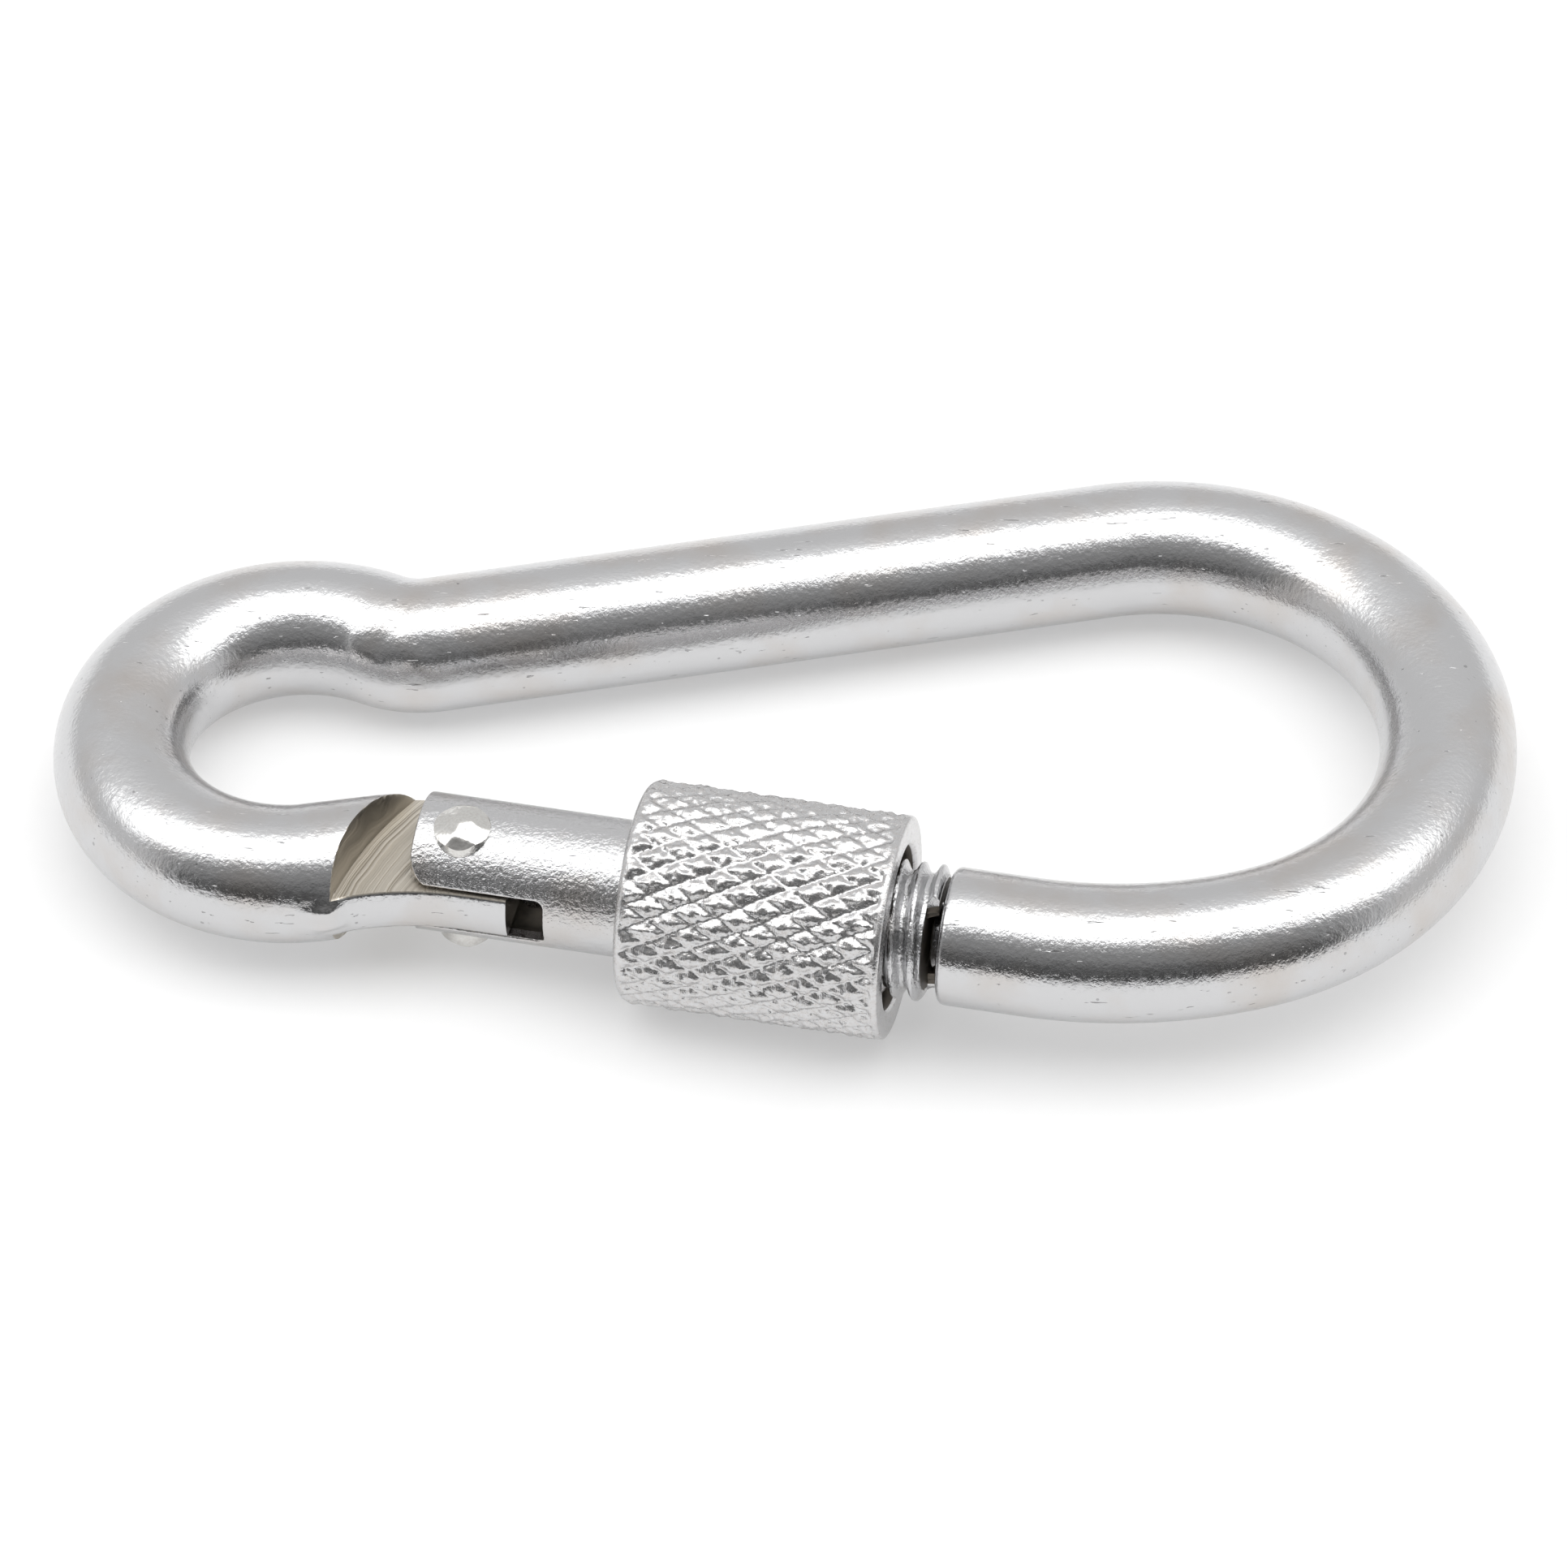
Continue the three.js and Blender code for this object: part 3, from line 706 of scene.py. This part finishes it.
def sleeve_grid(sleeve):
    """One closed turned shape: rounded rear edge, knurled outside, plain rim, chamfered front
    face, wider mouth and plain bore. The knurl is cut into the turned surface."""
    angles = ring_angles(SLEEVE_SIDES)
    rear, front, radius = sleeve.rear, sleeve.front, sleeve.radius
    edge, chamfer = sleeve.rear_edge, sleeve.rim_chamfer
    turn = np.linspace(0, math.pi / 2, 10)
    mouth = sleeve.bore + sleeve.mouth_step
    knurled = np.linspace(rear + edge, front - chamfer, 170)
    step_end = front - sleeve.mouth_depth - sleeve.mouth_step
    pieces = [
        np.stack([rear + edge - edge * np.cos(turn), radius - edge + edge * np.sin(turn)], 1),
        [(place, radius) for place in knurled[1:]],
        [(front - chamfer * 0.3, radius - chamfer * 0.3), (front, radius - chamfer)],
        [(front, (radius + mouth) / 2), (front, mouth + chamfer)],
        [(front - chamfer, mouth), (front - sleeve.mouth_depth / 2, mouth)],
        [(front - sleeve.mouth_depth, mouth), (step_end, sleeve.bore)],
        [(place, sleeve.bore) for place in np.linspace(step_end, rear + 0.2, 16)[1:]],
        [(rear, sleeve.bore + 0.2), (rear, (sleeve.bore + radius - edge) / 2)],
    ]
    profile = np.concatenate([np.array(part, float) for part in pieces])
    profile = np.concatenate([profile, profile[:1]])
    x, r = profile[:, :1], profile[:, 1:]
    outside = r > radius - edge
    fade = ramp(x, rear + edge * 0.35, rear + edge * 1.1) * (
        1 - ramp(x, front - sleeve.rim - 0.15, front - sleeve.rim)
    )
    wavering = sleeve.knurl_depth * 0.25 * smooth_noise(x * 5, angles / TAU * 6 * LATTICE, 2)
    cut = knurl(sleeve, x, angles) + wavering
    return round_x(x, r - outside * fade * cut, angles)


# ---- The push pin and the spring ----
def push_pin_grid(gate, spring):
    """A turned pin: broken-edged tip, collar that fills the bore, and a stem."""
    bevel, collar = spring.pin_edge, gate.bore - spring.collar_gap
    tip, back = spring.tip_radius, spring.stem + spring.stem_length
    profile = [
        (spring.tip, 0),
        (spring.tip, tip * 0.7),
        (spring.tip + 0.12, tip * 0.9),
        (spring.tip + 0.4, tip),
        (spring.collar - bevel, tip),
        (spring.collar, tip + bevel / 2),
        (spring.collar, collar - bevel),
        (spring.collar + bevel, collar),
        (spring.stem - bevel, collar),
        (spring.stem, collar - bevel),
        (spring.stem, spring.stem_radius),
        (back - bevel, spring.stem_radius),
        (back, spring.stem_radius - bevel),
        (back, 0),
    ]
    profile = np.array(profile, float)
    return round_x(profile[:, :1], profile[:, 1:], ring_angles(PIN_SIDES))


def spring_grid(gate, spring):
    """A round wire along a helix: the wire's ring stands square to the helix's own direction,
    and shrinks to a point at both ends."""
    wire = spring.wire / 2
    start = spring.stem + spring.gap + wire
    end = gate.bore_end - spring.gap - wire
    coil = gate.bore - spring.gap - wire
    turns = max(2, round((end - start) / spring.pitch))
    share = np.linspace(0, 1, turns * COIL_STEPS + 1)[:, None]
    turned = TAU * turns * share
    rise = (end - start) / (TAU * turns)
    radial = round_x(0, 1, turned)
    tangent = surface(rise + 0 * turned, -coil * np.sin(turned), coil * np.cos(turned))
    tangent /= np.linalg.norm(tangent, axis=-1, keepdims=True)
    side = np.cross(tangent, radial)
    centre = round_x(start + (end - start) * share, coil, turned)
    around = ring_angles(WIRE_SIDES)[None, :, None]
    tube = centre + wire * (np.cos(around) * radial + np.sin(around) * side)
    ends = [np.broadcast_to(centre[row], tube[row].shape)[None] for row in (0, -1)]
    return np.concatenate([ends[0], tube, ends[1]])


# ---- Materials ----
def per_mm(size):
    """The scale at which a pattern repeats about once in that many millimetres."""
    return 1 / (size * MM)


def node(tree, kind, inputs=(), output=0, **settings):
    """Adds a shader node with its settings and returns one of its outputs, or the node where it
    has none. Its inputs, in order or by name, are values or other nodes' outputs."""
    made = tree.nodes.new("ShaderNode" + kind)
    for name, value in settings.items():
        setattr(made, name, value)
    for name, value in inputs.items() if isinstance(inputs, dict) else enumerate(inputs):
        if isinstance(value, bpy.types.NodeSocket):
            tree.links.new(value, made.inputs[name])
        else:
            made.inputs[name].default_value = value
    return made.outputs[output] if made.outputs else made


def new_material(name):
    """An empty material, its node tree and the object's own coordinates."""
    material = bpy.data.materials.new(name)
    material.use_nodes = True
    tree = material.node_tree
    tree.nodes.clear()
    return material, tree, node(tree, "TexCoord", output="Object")


def shaded(material, colour, roughness, normal=None, **others):
    """The material with its shader, which is bare metal unless the others say otherwise."""
    look = {"Metallic": 1.0, "Base Color": colour, "Roughness": roughness, **others}
    if normal:
        look["Normal"] = normal
    shader = node(material.node_tree, "BsdfPrincipled", look)
    node(material.node_tree, "OutputMaterial", [shader])
    return material


def colour_by_pattern(tree, pattern, span, first, second):
    """A colour that goes from the first to the second as the pattern crosses the span, which
    gives its start and end, and the least and the greatest share of the second colour."""
    share = node(tree, "MapRange", [pattern, *span])
    return node(tree, "Mix", {0: share, 6: first, 7: second}, output=2, data_type="RGBA")


def tumbled_steel(finishes, name, grain_depth):
    """Bent stainless bar, vibratory tumbled: bright satin with a pebbled orange-peel grain of
    about 0.2 mm, a soft unevenness, small pits and scratches and warm patches from bending.
    The eye gets broken, glittering edges to every reflection."""
    patch_mm, grain_mm, swell_mm, pit_mm, scratch_mm = 3.5, 0.2, 1.1, 0.9, 0.16
    swell_depth, mark_depth, mark_darkness = 0.02, 0.02, 0.35
    material, tree, place = new_material(name)
    patches = node(tree, "TexNoise", {"Vector": place, "Scale": per_mm(patch_mm), "Detail": 4.0})
    tint = colour_by_pattern(tree, patches, (0.48, 0.72, 0.0, 0.75), finishes.bar, finishes.bar_tint)
    pits = node(tree, "TexVoronoi", {"Vector": place, "Scale": per_mm(pit_mm), "Randomness": 1.0})
    chance = node(tree, "SeparateColor", [pits.node.outputs["Color"]])
    pit_size = node(tree, "MapRange", [chance, 0.6, 1.0, 0.0, 0.09])
    pit = node(tree, "Math", [pits, pit_size], operation="LESS_THAN")
    drawn = {"Vector": place, "Rotation": (0.3, 0.2, 0.6), "Scale": (0.12, 1.0, 1.0)}
    lines = {"Vector": node(tree, "Mapping", drawn), "Scale": per_mm(scratch_mm), "Detail": 2.0}
    scratch = node(tree, "MapRange", [node(tree, "TexNoise", lines), 0.71, 0.76])
    marks = node(tree, "Math", [pit, scratch], operation="MAXIMUM")
    shade = colour_by_pattern(tree, marks, (0.0, 1.0, 0.0, mark_darkness), tint, finishes.grime_and_bore_shade)
    pebbles = {"Vector": place, "Scale": per_mm(grain_mm), "Detail": 3.0, "Roughness": 0.65}
    grain = node(tree, "TexNoise", pebbles)
    gloss = node(tree, "MapRange", [grain, 0.35, 0.7, 0.1, 0.24])
    swell = node(tree, "TexNoise", {"Vector": place, "Scale": per_mm(swell_mm), "Detail": 2.0})
    soft = node(tree, "Bump", {"Distance": swell_depth * MM, "Height": swell})
    pebbled = node(tree, "Bump", {"Distance": grain_depth * MM, "Height": grain, "Normal": soft})
    dents = {"Distance": mark_depth * MM, "Height": marks, "Normal": pebbled}
    return shaded(material, shade, gloss, node(tree, "Bump", dents, invert=True))


def milled_steel(finishes, centre):
    """Stainless steel left by a mill that swung round a far centre: duller and browner, with
    arc-shaped tool lines of uneven weight. The lines are drawn about 0.2 mm apart, coarser
    than the tool's feed, to show."""
    line_mm, wander_mm, wander_reach, ridge_depth = 0.2, 2.0, 0.35, 0.05
    material, tree, place = new_material("milled_stainless_steel")
    shift = node(tree, "Mapping", {"Vector": place, "Location": tuple(-centre)})
    flat = node(tree, "VectorMath", [shift, (1.0, 1.0, 0.0)], operation="MULTIPLY")
    reach = node(tree, "VectorMath", [flat], output="Value", operation="LENGTH")
    wander = node(tree, "TexNoise", {"Vector": place, "Scale": per_mm(wander_mm), "Detail": 1.0})
    bent = node(tree, "Math", [wander, wander_reach * MM, reach], operation="MULTIPLY_ADD")
    arcs = {"W": bent, "Scale": per_mm(line_mm), "Detail": 3.0, "Roughness": 0.7}
    lines = node(tree, "TexNoise", arcs, noise_dimensions="1D")
    shade = colour_by_pattern(tree, lines, (0.35, 0.7, 0.0, 0.6), finishes.milled, finishes.tool_lines_and_bore_shade)
    gloss = node(tree, "MapRange", [lines, 0.3, 0.7, 0.3, 0.45])
    ridges = node(tree, "Bump", {"Distance": ridge_depth * MM, "Height": lines})
    return shaded(material, shade, gloss, ridges)


def turned_steel(finishes, name, roughness, line_mm, grain_depth):
    """Free-cutting stainless steel from a lathe: bright, with fine tool rings square to the
    gate's axis and a pressed-up grain, rougher where a knurl was rolled."""
    grain_mm, line_depth = 0.16, 0.0012
    material, tree, place = new_material(name)
    along = [place, tuple(ALONG)]
    axis = node(tree, "VectorMath", along, output="Value", operation="DOT_PRODUCT")
    ring = node(tree, "Math", [axis, TAU / (line_mm * MM)], operation="MULTIPLY")
    wave = node(tree, "Math", [ring], operation="SINE")
    pebbles = {"Vector": place, "Scale": per_mm(grain_mm), "Detail": 3.0, "Roughness": 0.65}
    grain = node(tree, "TexNoise", pebbles)
    shade = colour_by_pattern(tree, grain, (0.4, 0.72, 0.0, 0.6), finishes.turned, finishes.bar_tint)
    gloss = node(tree, "MapRange", [grain, 0.35, 0.7, roughness - 0.05, roughness + 0.12])
    rings = node(tree, "Bump", {"Distance": line_depth * MM, "Height": wave})
    fine = {"Distance": grain_depth * MM, "Height": grain, "Normal": rings}
    return shaded(material, shade, gloss, node(tree, "Bump", fine))


def bore_shade_steel(finishes):
    """The bores of the gate and the sleeve, left as cut: painted shade, a dark and dull colour in
    place of the shade inside them.
    """
    bore_shade_mottle_mm = 0.5
    material, tree, place = new_material("painted_shade_bore_steel")
    # Painted shade: two dark colours, mottled by noise, stand in for the shade inside the bores.
    bore_shade_mottle = node(tree, "TexNoise", {"Vector": place, "Scale": per_mm(bore_shade_mottle_mm), "Detail": 3.0})
    shade = colour_by_pattern(tree, bore_shade_mottle, (0.0, 1.0), finishes.grime_and_bore_shade, finishes.tool_lines_and_bore_shade)
    return shaded(material, shade, node(tree, "MapRange", [bore_shade_mottle, 0.0, 1.0, 0.35, 0.6]))


def peened_steel(finishes):
    """Rivet steel hammered over: bright hammer flats with soft dents between them."""
    dent_mm, dent_depth, grain_mm = 0.45, 0.04, 0.1
    material, tree, place = new_material("peened_rivet_steel")
    dents = node(tree, "TexNoise", {"Vector": place, "Scale": per_mm(dent_mm), "Detail": 2.0})
    grain = node(tree, "TexNoise", {"Vector": place, "Scale": per_mm(grain_mm), "Detail": 2.0})
    shade = colour_by_pattern(tree, grain, (0.4, 0.7, 0.0, 0.4), finishes.rivet, finishes.bar_tint)
    gloss = node(tree, "MapRange", [grain, 0.3, 0.7, 0.1, 0.22])
    soft = node(tree, "Bump", {"Distance": dent_depth * MM, "Height": dents})
    return shaded(material, shade, gloss, soft)


def spring_steel(finishes):
    """Drawn spring wire: grey, with streaks along its drawing that read as fine grain here."""
    grain_mm, grain_depth = 0.12, 0.006
    material, tree, place = new_material("drawn_spring_wire")
    grain = node(tree, "TexNoise", {"Vector": place, "Scale": per_mm(grain_mm), "Detail": 2.0})
    shade = colour_by_pattern(tree, grain, (0.3, 0.7), finishes.spring, finishes.spring_dark)
    gloss = node(tree, "MapRange", [grain, 0.3, 0.7, 0.28, 0.42])
    fine = node(tree, "Bump", {"Distance": grain_depth * MM, "Height": grain})
    return shaded(material, shade, gloss, fine)


def floor_material(finishes):
    """Matt white paper lit from behind as well as from above, so that shadows stay pale and
    soft: part of its brightness is its own."""
    tooth_mm, roughness, own_glow = 0.8, 0.9, 0.34
    material, tree, place = new_material("backlit_white_paper")
    tooth = node(tree, "TexNoise", {"Vector": place, "Scale": per_mm(tooth_mm), "Detail": 2.0})
    shade = colour_by_pattern(tree, tooth, (0.3, 0.7, 0.0, 0.04), finishes.floor, finishes.floor_tooth)
    paper = {"Metallic": 0.0, "Specular IOR Level": 0.1, "Emission Strength": own_glow}
    paper["Emission Color"] = (1.0, 1.0, 1.0, 1.0)
    return shaded(material, shade, roughness, **paper)


# ---- Operators ----
class HOOK_OT_bar(bpy.types.Operator):
    """Makes the bent bar with its shoulder, latch stud and milled tongue"""

    bl_idname = "snap_hook.bar"
    bl_label = "Bent bar"

    def execute(self, context):
        hook, gate, _, _ = sizes(context.scene)
        grids = [(bar_grid(hook), True)]
        made = piece("hook_bar", grids, gate, "hook", ["hook_body"])
        bore_through(made, hook, gate)
        mill = in_row(np.array([[hook.mill_x, -hook.mill_y, 0.0]]), gate)[0]
        finishes = context.scene.hook_finishes
        made.data.materials.append(tumbled_steel(finishes, "tumbled_stainless_bar", 0.02))
        made.data.materials.append(milled_steel(finishes, mill))
        mark_milled(made, hook, mill)
        return {"FINISHED"}


def bore_through(made, hook, gate):
    """Bores the hinge hole: a closed cylinder on the pin's axis, (r cos a, r sin a, z), is taken
    away from the piece."""
    angles = ring_angles(BORE_SIDES)
    radius = gate.pin_radius + gate.pin_clearance
    reach = np.array([0.0, radius, radius, 0.0])[:, None]
    height = hook.radius * np.array([-1.0, -1.0, 1.0, 1.0])[:, None]
    y = reach * np.sin(angles) - gate.pin_offset
    cylinder = surface(reach * np.cos(angles), y, height)
    cutter = bpy.data.objects.new("bore", joined_mesh("bore", [(cylinder, True)], gate))
    bpy.context.scene.collection.objects.link(cutter)
    cut = made.modifiers.new("bore", "BOOLEAN")
    cut.operation, cut.object, cut.solver = "DIFFERENCE", cutter, "MANIFOLD"
    graph = bpy.context.evaluated_depsgraph_get()
    bored = bpy.data.meshes.new_from_object(made.evaluated_get(graph))
    made.modifiers.clear()
    bpy.data.objects.remove(cutter)
    if len(bored.vertices) < len(made.data.vertices) / 2:
        raise RuntimeError("the hinge hole could not be bored")
    made.data = bored
    finish_mesh(made.data, 35)


def face_values(mesh, name):
    """One vector for each face, such as its centre or its normal."""
    values = np.zeros(len(mesh.polygons) * 3, np.float32)
    mesh.polygons.foreach_get(name, values)
    return values.reshape(-1, 3)


def mark_milled(made, hook, mill):
    """Gives the second material to the faces that the mill left: the tongue's flats, and the
    wall that faces the mill's centre."""
    centre, normal = face_values(made.data, "center"), face_values(made.data, "normal")
    toward = (mill - centre)[:, :2] / MM
    reach = np.hypot(*toward.T)
    height = np.abs(centre[:, 2]) / MM
    half = hook.tongue_thickness / 2
    upright, toward_mill, lip = 0.7, 0.55, 0.25
    flat = (height < half + 0.02) & (np.abs(normal[:, 2]) > upright)
    facing = np.einsum("ij,ij->i", toward / reach[:, None], normal[:, :2])
    wall = (reach > hook.mill_foot - 0.3) & (height > half - 0.05) & (facing > toward_mill)
    hinge_end = (centre - HINGE) @ ALONG / MM < hook.tongue_reach + 0.1
    index = (hinge_end & (reach < hook.mill_top + lip) & (flat | wall)).astype(np.int32)
    made.data.polygons.foreach_set("material_index", index)


def mark_inside(made, gate, radius):
    """Gives the second material, which is painted shade, to the faces nearer to the gate's axis
    than the radius: the bores and whatever lies as close, such as the middle of the gate's end
    face.
    """
    away = face_values(made.data, "center") - in_row(np.zeros((1, 3)), gate)
    away -= np.outer(away @ ALONG, ALONG)
    inside = np.linalg.norm(away, axis=1) / MM < radius
    made.data.polygons.foreach_set("material_index", inside.astype(np.int32))


class HOOK_OT_gate(bpy.types.Operator):
    """Makes the slotted and threaded gate"""

    bl_idname = "snap_hook.gate"
    bl_label = "Gate"

    def execute(self, context):
        hook, gate, sleeve, _ = sizes(context.scene)
        grids = gate_grids(hook, gate, sleeve)
        made = piece("slotted_gate", grids, gate, "gate", ["gate"])
        finishes = context.scene.hook_finishes
        made.data.materials.append(tumbled_steel(finishes, "tumbled_stainless_gate", 0.055))
        # The second material paints shade on the bore and on the faces near the gate's axis.
        made.data.materials.append(bore_shade_steel(finishes))
        mark_inside(made, gate, gate.bore + 0.02)
        return {"FINISHED"}


class HOOK_OT_rivet(bpy.types.Operator):
    """Makes the hinge rivet with its two peened heads"""

    bl_idname = "snap_hook.rivet"
    bl_label = "Hinge rivet"

    def execute(self, context):
        hook, gate, _, _ = sizes(context.scene)
        grids = [(rivet_grid(hook, gate), True)]
        made = piece("peened_rivet", grids, gate, "gate", ["hinge_rivet"], 25)
        made.data.materials.append(peened_steel(context.scene.hook_finishes))
        return {"FINISHED"}


class HOOK_OT_sleeve(bpy.types.Operator):
    """Makes the knurled lock sleeve"""

    bl_idname = "snap_hook.sleeve"
    bl_label = "Lock sleeve"

    def execute(self, context):
        _, gate, sleeve, _ = sizes(context.scene)
        grids = [(sleeve_grid(sleeve), True)]
        made = piece("knurled_sleeve", grids, gate, "sleeve", ["lock_sleeve"], 50)
        finishes = context.scene.hook_finishes
        look = {"roughness": 0.2, "line_mm": 0.09, "grain_depth": 0.03}
        made.data.materials.append(turned_steel(finishes, "knurled_stainless_steel", **look))
        # The second material paints shade in the sleeve's mouth and bore.
        made.data.materials.append(bore_shade_steel(finishes))
        mark_inside(made, gate, sleeve.bore + sleeve.mouth_step + 0.02)
        return {"FINISHED"}


class HOOK_OT_push_pin(bpy.types.Operator):
    """Makes the push pin and the spring that it presses"""

    bl_idname = "snap_hook.push_pin"
    bl_label = "Push pin and spring"

    def execute(self, context):
        _, gate, _, spring = sizes(context.scene)
        finishes = context.scene.hook_finishes
        grids = [(push_pin_grid(gate, spring), True)]
        pin = piece("turned_push_pin", grids, gate, "push_pin", ["push_pin"])
        look = {"roughness": 0.25, "line_mm": 0.07, "grain_depth": 0.008}
        pin.data.materials.append(turned_steel(finishes, "turned_pin_steel", **look))
        coil = [(spring_grid(gate, spring), True)]
        wire = piece("coiled_spring", coil, gate, None, ["gate_spring"])
        wire.data.materials.append(spring_steel(finishes))
        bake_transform(wire)
        return {"FINISHED"}


def floor_plane(hook, gate, sleeve):
    """The plane that the hook lies on: it touches the sleeve's underside and the bar's
    underside along its back. Returns a point and the plane's upward normal."""
    x, y, _ = centre_line(hook, np.linspace(0, hook.total, 400))
    line = in_row(np.stack([x, y, 0 * x], 1), gate) / MM
    rest = in_row(np.array([[(sleeve.rear + sleeve.front) / 2, 0.0, 0.0]]), gate)[0] / MM
    small, large = line[line[:, 0] < 0], line[line[:, 0] > 0]
    far = [group[np.argmax(group[:, 1])] for group in (small, large)]
    across = far[1] - far[0]
    across /= np.linalg.norm(across)
    forward = np.array([across[1], -across[0], 0.0])
    gap = float((rest - far[0]) @ forward)
    tilt = math.asin((sleeve.radius - hook.radius) / gap)
    normal = UP * math.cos(tilt) + forward * math.sin(tilt)
    return (far[0] - hook.radius * normal) * MM, normal


def glow(tree):
    """Brightness of the surroundings by direction: t runs from the front horizon at 0 over the
    zenith at 90 to the back horizon at 180 degrees. The front is dim, a wide softbox hangs
    overhead, and the sides and back are white."""
    side_start, side_full, side_glow = 0.72, 0.92, 0.93
    place = node(tree, "TexCoord", output="Generated")
    parts = node(tree, "SeparateXYZ", [place]).node.outputs
    front = node(tree, "Math", [parts["Y"], -1.0], operation="MULTIPLY")
    turn = node(tree, "Math", [parts["Z"], front], operation="ARCTAN2")
    share = node(tree, "Math", [turn, math.pi], operation="DIVIDE")
    bands = node(tree, "ValToRGB", [share])
    steps = [(0, 0.1), (10, 0.12), (22, 0.22), (32, 0.36), (46, 0.42), (58, 0.66), (64, 0.95)]
    steps += [(68, 3.2), (103, 3.2), (108, 1.3), (122, 1.15), (135, 0.98), (180, 0.95)]
    brightest = max(value for _, value in steps)
    spots = bands.node.color_ramp.elements
    for number, (degrees, value) in enumerate(steps):
        spot = spots[number] if number < 2 else spots.new(degrees / 180)
        spot.position = degrees / 180
        spot.color = (value / brightest,) * 3 + (1.0,)
    side = node(tree, "Math", [parts["X"]], operation="ABSOLUTE")
    aside = node(tree, "MapRange", [side, side_start, side_full])
    middle = node(tree, "Math", [bands, brightest], operation="MULTIPLY")
    return node(tree, "Mix", {0: aside, 2: middle, 3: side_glow}, data_type="FLOAT")


class HOOK_OT_stage(bpy.types.Operator):
    """Makes the floor, the soft light all round and the camera"""

    bl_idname = "snap_hook.stage"
    bl_label = "Stage"

    def execute(self, context):
        scene = context.scene
        hook, gate, sleeve, _ = sizes(scene)
        point, normal = floor_plane(hook, gate, sleeve)
        right = np.cross(np.cross(normal, [1.0, 0, 0]), normal)
        right /= np.linalg.norm(right)
        ahead = np.cross(normal, right)
        sides = [(-1, -1), (1, -1), (1, 1), (-1, 1)]
        corners = [tuple(point + FLOOR_REACH * (a * right + b * ahead)) for a, b in sides]
        mesh = bpy.data.meshes.new("floor")
        mesh.from_pydata(corners, [], [(0, 1, 2, 3)])
        mesh.materials.append(floor_material(scene.hook_finishes))
        floor = bpy.data.objects.new("floor", mesh)
        scene.collection.objects.link(floor)
        world = bpy.data.worlds.new("light_tent")
        world.use_nodes = True
        tree = world.node_tree
        tree.nodes.clear()
        light = node(tree, "Background", {"Strength": glow(tree)})
        node(tree, "OutputWorld", [light])
        scene.world = world
        scene.view_settings.view_transform = "Standard"
        lens = bpy.data.cameras.new("camera")
        lens.sensor_width, lens.lens = 36.0, 188.0
        lens.clip_start, lens.clip_end = 0.01, 20.0
        camera = bpy.data.objects.new("camera", lens)
        scene.collection.objects.link(camera)
        camera.matrix_world = camera_place(
            distance=0.33575, elevation=0.7825, yaw=-0.0247, roll=0.0242, aim=(0.000005, 0.001418)
        )
        scene.camera = camera
        return {"FINISHED"}


def camera_place(distance, elevation, yaw, roll, aim):
    """The camera's matrix: it looks down at the elevation, turned by the yaw round the upright
    and by the roll round its own view, from the distance, with the part's origin off its axis
    by the aim."""
    right = np.array([math.cos(yaw), -math.sin(yaw), 0.0])
    level = np.array([math.sin(yaw), math.cos(yaw), 0.0])
    up = math.sin(elevation) * level + math.cos(elevation) * UP
    forward = math.cos(elevation) * level - math.sin(elevation) * UP
    turned_right = math.cos(roll) * right - math.sin(roll) * up
    turned_up = math.sin(roll) * right + math.cos(roll) * up
    spot = -aim[0] * turned_right - aim[1] * turned_up - distance * forward
    matrix = np.eye(4)
    matrix[:3] = np.stack([turned_right, turned_up, -forward, spot], axis=1)
    return Matrix(matrix.tolist())


class HOOK_PT_pieces(bpy.types.Panel):
    """Lists the pieces and their sizes"""

    bl_idname = "HOOK_PT_pieces"
    bl_label = "Snap hook"
    bl_space_type = "VIEW_3D"
    bl_region_type = "UI"
    bl_category = "Snap hook"

    def draw(self, context):
        layout, scene = self.layout, context.scene
        for kind in PIECES:
            layout.operator(kind.bl_idname)
        for title in GROUPS:
            box = layout.box()
            box.label(text=title.replace("_", " ").capitalize())
            group = getattr(scene, title)
            for name in group.__annotations__:
                box.prop(group, name)


PIECES = (
    HOOK_OT_bar,
    HOOK_OT_gate,
    HOOK_OT_rivet,
    HOOK_OT_sleeve,
    HOOK_OT_push_pin,
    HOOK_OT_stage,
)
GROUPS = {
    "hook_sizes": HookSizes,
    "gate_sizes": GateSizes,
    "sleeve_sizes": SleeveSizes,
    "spring_sizes": SpringSizes,
    "hook_finishes": Finishes,
}


def register():
    for kind in (*GROUPS.values(), *PIECES, HOOK_PT_pieces):
        bpy.utils.register_class(kind)
    for name, kind in GROUPS.items():
        setattr(bpy.types.Scene, name, bpy.props.PointerProperty(type=kind))


def unregister():
    for name in GROUPS:
        delattr(bpy.types.Scene, name)
    for kind in (HOOK_PT_pieces, *reversed(PIECES), *GROUPS.values()):
        bpy.utils.unregister_class(kind)


def main():
    """Registers the add-on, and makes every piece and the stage."""
    register()
    for kind in PIECES:
        group, name = kind.bl_idname.split(".")
        getattr(getattr(bpy.ops, group), name)()


if __name__ == "__main__":
    main()
